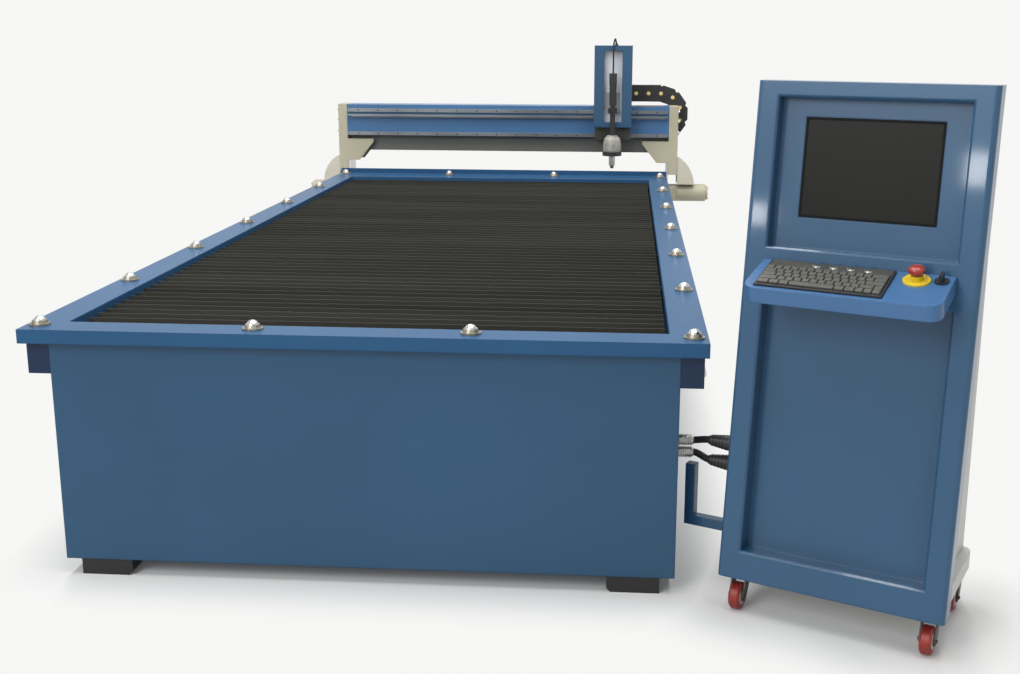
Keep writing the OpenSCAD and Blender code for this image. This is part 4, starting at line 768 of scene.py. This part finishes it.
def make_keyboard():
    """The pad in its pocket, with rows of keys and the strip of buttons behind them."""
    sink, thick, slip, edge, gap, key_h, rows = 0.004, 0.010, 0.0004, 0.006, 0.003, 0.006, 5
    strip_sunk, strip_raised, strip_in = 0.001, 0.0012, 0.002
    place = SHELF @ shift(PAD_X, -SHELF_D + PAD_FRONT, -sink)
    bm = bmesh.new()
    add_box(bm, (slip, slip, 0.0), (PAD_W - slip, PAD_D - slip, thick), place, bevel=0.002)
    finish = finish_piece("keyboard_pad", bm, plastic_black, "table")
    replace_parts(finish, "keyboard")
    bm = bmesh.new()
    lo = (edge, PAD_D - STRIP_D, thick - strip_sunk)
    hi = (PAD_W - edge, PAD_D - strip_in, thick + strip_raised)
    add_box(bm, lo, hi, place, bevel=0.0008)
    finish_piece("keyboard_strip", bm, strip_grey, "table")
    units = 15
    cell = (PAD_D - STRIP_D - 2 * edge) / rows
    unit = (PAD_W - 2 * edge) / units
    widths = {
        0: [1.5, 1.25, 1.25, 5.5, 1.25, 1.25, 1, 1, 1],
        1: [2.25] + [1] * 10 + [1.75, 1],
        2: [1.75] + [1] * 11 + [2.25],
        3: [1.5] + [1] * 12 + [1.5],
        4: [1] * 13 + [2],
    }
    bm = bmesh.new()
    for r in range(rows):
        x = edge
        for w in widths[r]:
            lo = (x + gap / 2, edge + r * cell + gap / 2, thick)
            hi = (x + w * unit - gap / 2, edge + (r + 1) * cell - gap / 2, thick + key_h)
            add_box(bm, lo, hi, place, bevel=0.0016)
            x += w * unit
    finish_piece("keyboard_keys", bm, key_grey, "table")


def make_buttons():
    """A ring round each push button, and the stop button's domed head on its yellow plate."""
    count, button_x, step, slip, z = 4, 0.1503, 0.044, 0.0003, 0.006
    y = -SHELF_D + PAD_FRONT + PAD_D - STRIP_D / 2 + slip
    profile = [(0.0083, 0), (0.0118, 0), (0.0118, 0.0015), (0.0105, 0.003), (0.0083, 0.003)]
    bm = bmesh.new()
    for i in range(count):
        add_ring(bm, profile, SHELF @ shift(button_x + i * step, y, z), 24)
    finish_piece("button_rings", bm, zinc, "table", smooth=40)
    stop_x, stop_y = 0.404, -0.046
    spot = SHELF @ shift(stop_x, stop_y, 0)
    bm = bmesh.new()
    r, neck, bore = 0.034, 0.015, 0.0081
    profile = [(bore, 0), (r, 0), (r, 0.004), (r - 0.002, 0.006), (neck, 0.006), (neck, 0.015)]
    add_ring(bm, profile + [(neck - 0.001, 0.016), (bore, 0.016)], spot, 40)
    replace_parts(finish_piece("stop_plate", bm, stop_yellow, "table", smooth=40), "estop_base")
    bm = bmesh.new()
    head, rise, h, skirt, rings = 0.020, 0.024, 0.018, 0.008, 7
    angles = [k * math.pi / 2 / rings for k in range(rings)]
    dome = [(head * math.cos(a), rise + skirt + (h - skirt) * math.sin(a)) for a in angles]
    stem = [(0, 0), (0.008, 0), (0.008, rise), (head - 0.001, rise), (head, rise + 0.001)]
    add_lathe(bm, stem + dome + [(0, rise + h)], spot, 36)
    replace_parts(finish_piece("stop_head", bm, stop_red, "estop_head", smooth=40), "estop_head")


def make_screen():
    """A dark bezel strip round the glass."""
    w, h, deep, strip, raised = 0.352, 0.258, 0.040, 0.006, 0.017
    low_share, top_in, proud, sunk = 0.679, 0.040, 0.0015, 0.001
    low = (low_share * FACE_LEN + FACE_LEN - top_in - h) / 2 + raised
    x0 = (CONSOLE_W - w) / 2
    bm = bmesh.new()
    for lo, hi in (
        ((x0, low), (x0 + w, low + strip)),
        ((x0, low + h - strip), (x0 + w, low + h)),
        ((x0, low + strip), (x0 + strip, low + h - strip)),
        ((x0 + w - strip, low + strip), (x0 + w, low + h - strip)),
    ):
        add_box(bm, (lo[0], deep - proud, lo[1]), (hi[0], deep + sunk, hi[1]), FACE, bevel=0.0006)
    finish_piece("screen_bezel", bm, bezel_black, "table")


def make_wheels():
    """Bright hubs on both faces of each caster wheel."""
    spots = [(0.046, 0.074), (0.558, 0.074), (0.046, 0.360), (0.558, 0.360)]
    trail, r, half = -0.030, 0.038, 0.015
    profile = [(0.0153, 0), (0.024, 0), (0.0235, 0.0008), (0.0160, 0.0012), (0.0153, 0.0012)]
    for i, (x, y) in enumerate(spots):
        bm = bmesh.new()
        for side in (-1, 1):
            hub = CONSOLE @ shift(x + side * half, y + trail, r) @ facing((side, 0, 0))
            add_ring(bm, profile, hub, 28)
        finish_piece(f"wheel_hub_{i + 1}", bm, zinc, f"caster_wheel_{i + 1}", smooth=40)


make_ball_screws()
make_slats()
make_rail_screws()
make_connectors()
make_gantry_bolts()
make_beam_strip()
make_chain()
make_torch()
make_keyboard()
make_buttons()
make_screen()
make_wheels()


# Floor, light and camera


def lit_background(tree, light, pale):
    """Mixes to the pale shader for what the camera and reflections see."""
    path = tree.nodes.new("ShaderNodeLightPath")
    total = tree.nodes.new("ShaderNodeMath")
    total.operation = "MAXIMUM"
    tree.links.new(path.outputs["Is Camera Ray"], total.inputs[0])
    both = tree.nodes.new("ShaderNodeMath")
    both.operation = "MAXIMUM"
    tree.links.new(path.outputs["Is Glossy Ray"], both.inputs[0])
    tree.links.new(path.outputs["Is Transmission Ray"], both.inputs[1])
    tree.links.new(both.outputs["Value"], total.inputs[1])
    mix = tree.nodes.new("ShaderNodeMixShader")
    tree.links.new(total.outputs["Value"], mix.inputs["Fac"])
    tree.links.new(light, mix.inputs[1])
    tree.links.new(pale, mix.inputs[2])
    return mix.outputs["Shader"]


PALE = srgb(247, 247, 245)
world = bpy.data.worlds.new("studio")
bpy.context.scene.world = world
world.use_nodes = True
tree = world.node_tree
ambient = tree.nodes["Background"]
ambient.inputs["Color"].default_value = (0.96, 0.98, 1.0, 1.0)
ambient.inputs["Strength"].default_value = 0.42
seen = tree.nodes.new("ShaderNodeBackground")
seen.inputs["Color"].default_value = PALE
tree.links.new(
    lit_background(tree, ambient.outputs["Background"], seen.outputs["Background"]),
    tree.nodes["World Output"].inputs["Surface"],
)


def distance_from(tree, where, centre, half, yaw=0.0):
    """How far a point of the floor lies from an upright box."""
    local = tree.nodes.new("ShaderNodeMapping")
    local.vector_type = "TEXTURE"
    local.inputs["Location"].default_value = centre
    local.inputs["Rotation"].default_value = (0.0, 0.0, yaw)
    tree.links.new(where, local.inputs["Vector"])
    flow = local.outputs["Vector"]
    steps = {"ABSOLUTE": None, "SUBTRACT": half, "MAXIMUM": (0.0, 0.0, 0.0), "LENGTH": None}
    for operation, value in steps.items():
        step = tree.nodes.new("ShaderNodeVectorMath")
        step.operation = operation
        tree.links.new(flow, step.inputs[0])
        if value:
            step.inputs[1].default_value = value
        flow = step.outputs["Value" if operation == "LENGTH" else "Vector"]
    return flow


def make_floor(near, far, least):
    """A pale floor that shows the object's shadow near by, and fades into the backdrop further out."""
    mat = bpy.data.materials.new("studio_floor")
    mat.use_nodes = True
    tree = mat.node_tree
    shader = tree.nodes["Principled BSDF"]
    shader.inputs["Base Color"].default_value = (0.76, 0.755, 0.745, 1.0)
    shader.inputs["Roughness"].default_value = 0.9
    shader.inputs["Specular IOR Level"].default_value = 0.0
    glow = tree.nodes.new("ShaderNodeEmission")
    glow.inputs["Color"].default_value = PALE
    where = tree.nodes.new("ShaderNodeTexCoord").outputs["Object"]
    tank_lo, tank_hi = (Vector(p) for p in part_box("tank"))
    tank_half = (tank_hi - tank_lo) / 2
    console_half = Vector((CONSOLE_W / 2, CONSOLE_D / 2, 1.0))
    closer = tree.nodes.new("ShaderNodeMath")
    closer.operation = "MINIMUM"
    tank_off = distance_from(tree, where, (tank_lo + tank_hi) / 2, (tank_half.x, tank_half.y, 1.0))
    tree.links.new(tank_off, closer.inputs[0])
    console_off = distance_from(
        tree, where, CONSOLE @ Vector((console_half.x, console_half.y, 0)), console_half, CONSOLE_YAW
    )
    tree.links.new(console_off, closer.inputs[1])
    fade = tree.nodes.new("ShaderNodeMapRange")
    fade.interpolation_type = "SMOOTHSTEP"
    fade.inputs["From Min"].default_value = near
    fade.inputs["From Max"].default_value = far
    fade.inputs["To Min"].default_value = least
    tree.links.new(closer.outputs["Value"], fade.inputs["Value"])
    mix = tree.nodes.new("ShaderNodeMixShader")
    tree.links.new(fade.outputs["Result"], mix.inputs["Fac"])
    tree.links.new(shader.outputs["BSDF"], mix.inputs[1])
    tree.links.new(glow.outputs["Emission"], mix.inputs[2])
    tree.links.new(
        lit_background(tree, shader.outputs["BSDF"], mix.outputs["Shader"]),
        tree.nodes["Material Output"].inputs["Surface"],
    )
    bm = bmesh.new()
    bmesh.ops.create_grid(bm, x_segments=2, y_segments=2, size=60.0)
    finish_piece("floor", bm, mat)


make_floor(near=0.0, far=0.28, least=0.05)


def area_light(name, where, look, size, power):
    data = bpy.data.lights.new(name, "AREA")
    data.shape = "RECTANGLE"
    data.size, data.size_y = size
    data.energy = power
    lamp = bpy.data.objects.new(name, data)
    lamp.location = where
    lamp.rotation_euler = (Vector(look) - Vector(where)).to_track_quat("-Z", "Y").to_euler()
    lamp.visible_camera = False
    bpy.context.scene.collection.objects.link(lamp)


for i, x in enumerate((-1.8, 0.1, 2.0)):
    area_light(f"ceiling_strip_{i}", at(x, 1.6, 5.0), at(x, 1.6, 0.7), (0.4, 7.0), 122.0)
area_light("front_key", at(-2.6, -4.4, 4.0), at(0.2, 0.4, 0.6), (3.0, 2.5), 170.0)
area_light("glint_right", at(-0.72, -3.41, 1.82), at(1.56, -0.17, 1.20), (0.14, 0.18), 2.6)
area_light("glint_left", at(-1.73, -2.78, 1.47), at(1.07, 0.05, 1.12), (0.14, 0.12), 1.8)

# The camera that the photograph was fitted to: an image of 1020 by 674 pixels
IMAGE_W, IMAGE_H = 1020.0, 674.0
FOCAL_PX, CENTRE_PX = 1216.7, (540.0, 310.0)
SENSOR_MM = 36.0
CAMERA_AT = at(0.7212, -3.1604, 1.5428)
YAW, PITCH, ROLL = -0.070, 0.223, 0.004

ahead = Vector((math.sin(YAW) * math.cos(PITCH), math.cos(YAW) * math.cos(PITCH), -math.sin(PITCH)))
right = Vector((math.cos(YAW), -math.sin(YAW), 0.0))
up = right.cross(ahead)
right, up = (
    math.cos(ROLL) * right + math.sin(ROLL) * up,
    -math.sin(ROLL) * right + math.cos(ROLL) * up,
)
lens = bpy.data.cameras.new("camera")
lens.sensor_fit = "HORIZONTAL"
lens.sensor_width = SENSOR_MM
lens.lens = FOCAL_PX / IMAGE_W * SENSOR_MM
lens.shift_x = (IMAGE_W / 2 - CENTRE_PX[0]) / IMAGE_W
lens.shift_y = (CENTRE_PX[1] - IMAGE_H / 2) / IMAGE_W
lens.clip_end = 200.0
camera = bpy.data.objects.new("camera", lens)
camera.matrix_world = Matrix.Translation(CAMERA_AT) @ Matrix((right, up, -ahead)).transposed().to_4x4()
bpy.context.scene.collection.objects.link(camera)
bpy.context.scene.camera = camera
bpy.context.scene.view_settings.view_transform = "Standard"
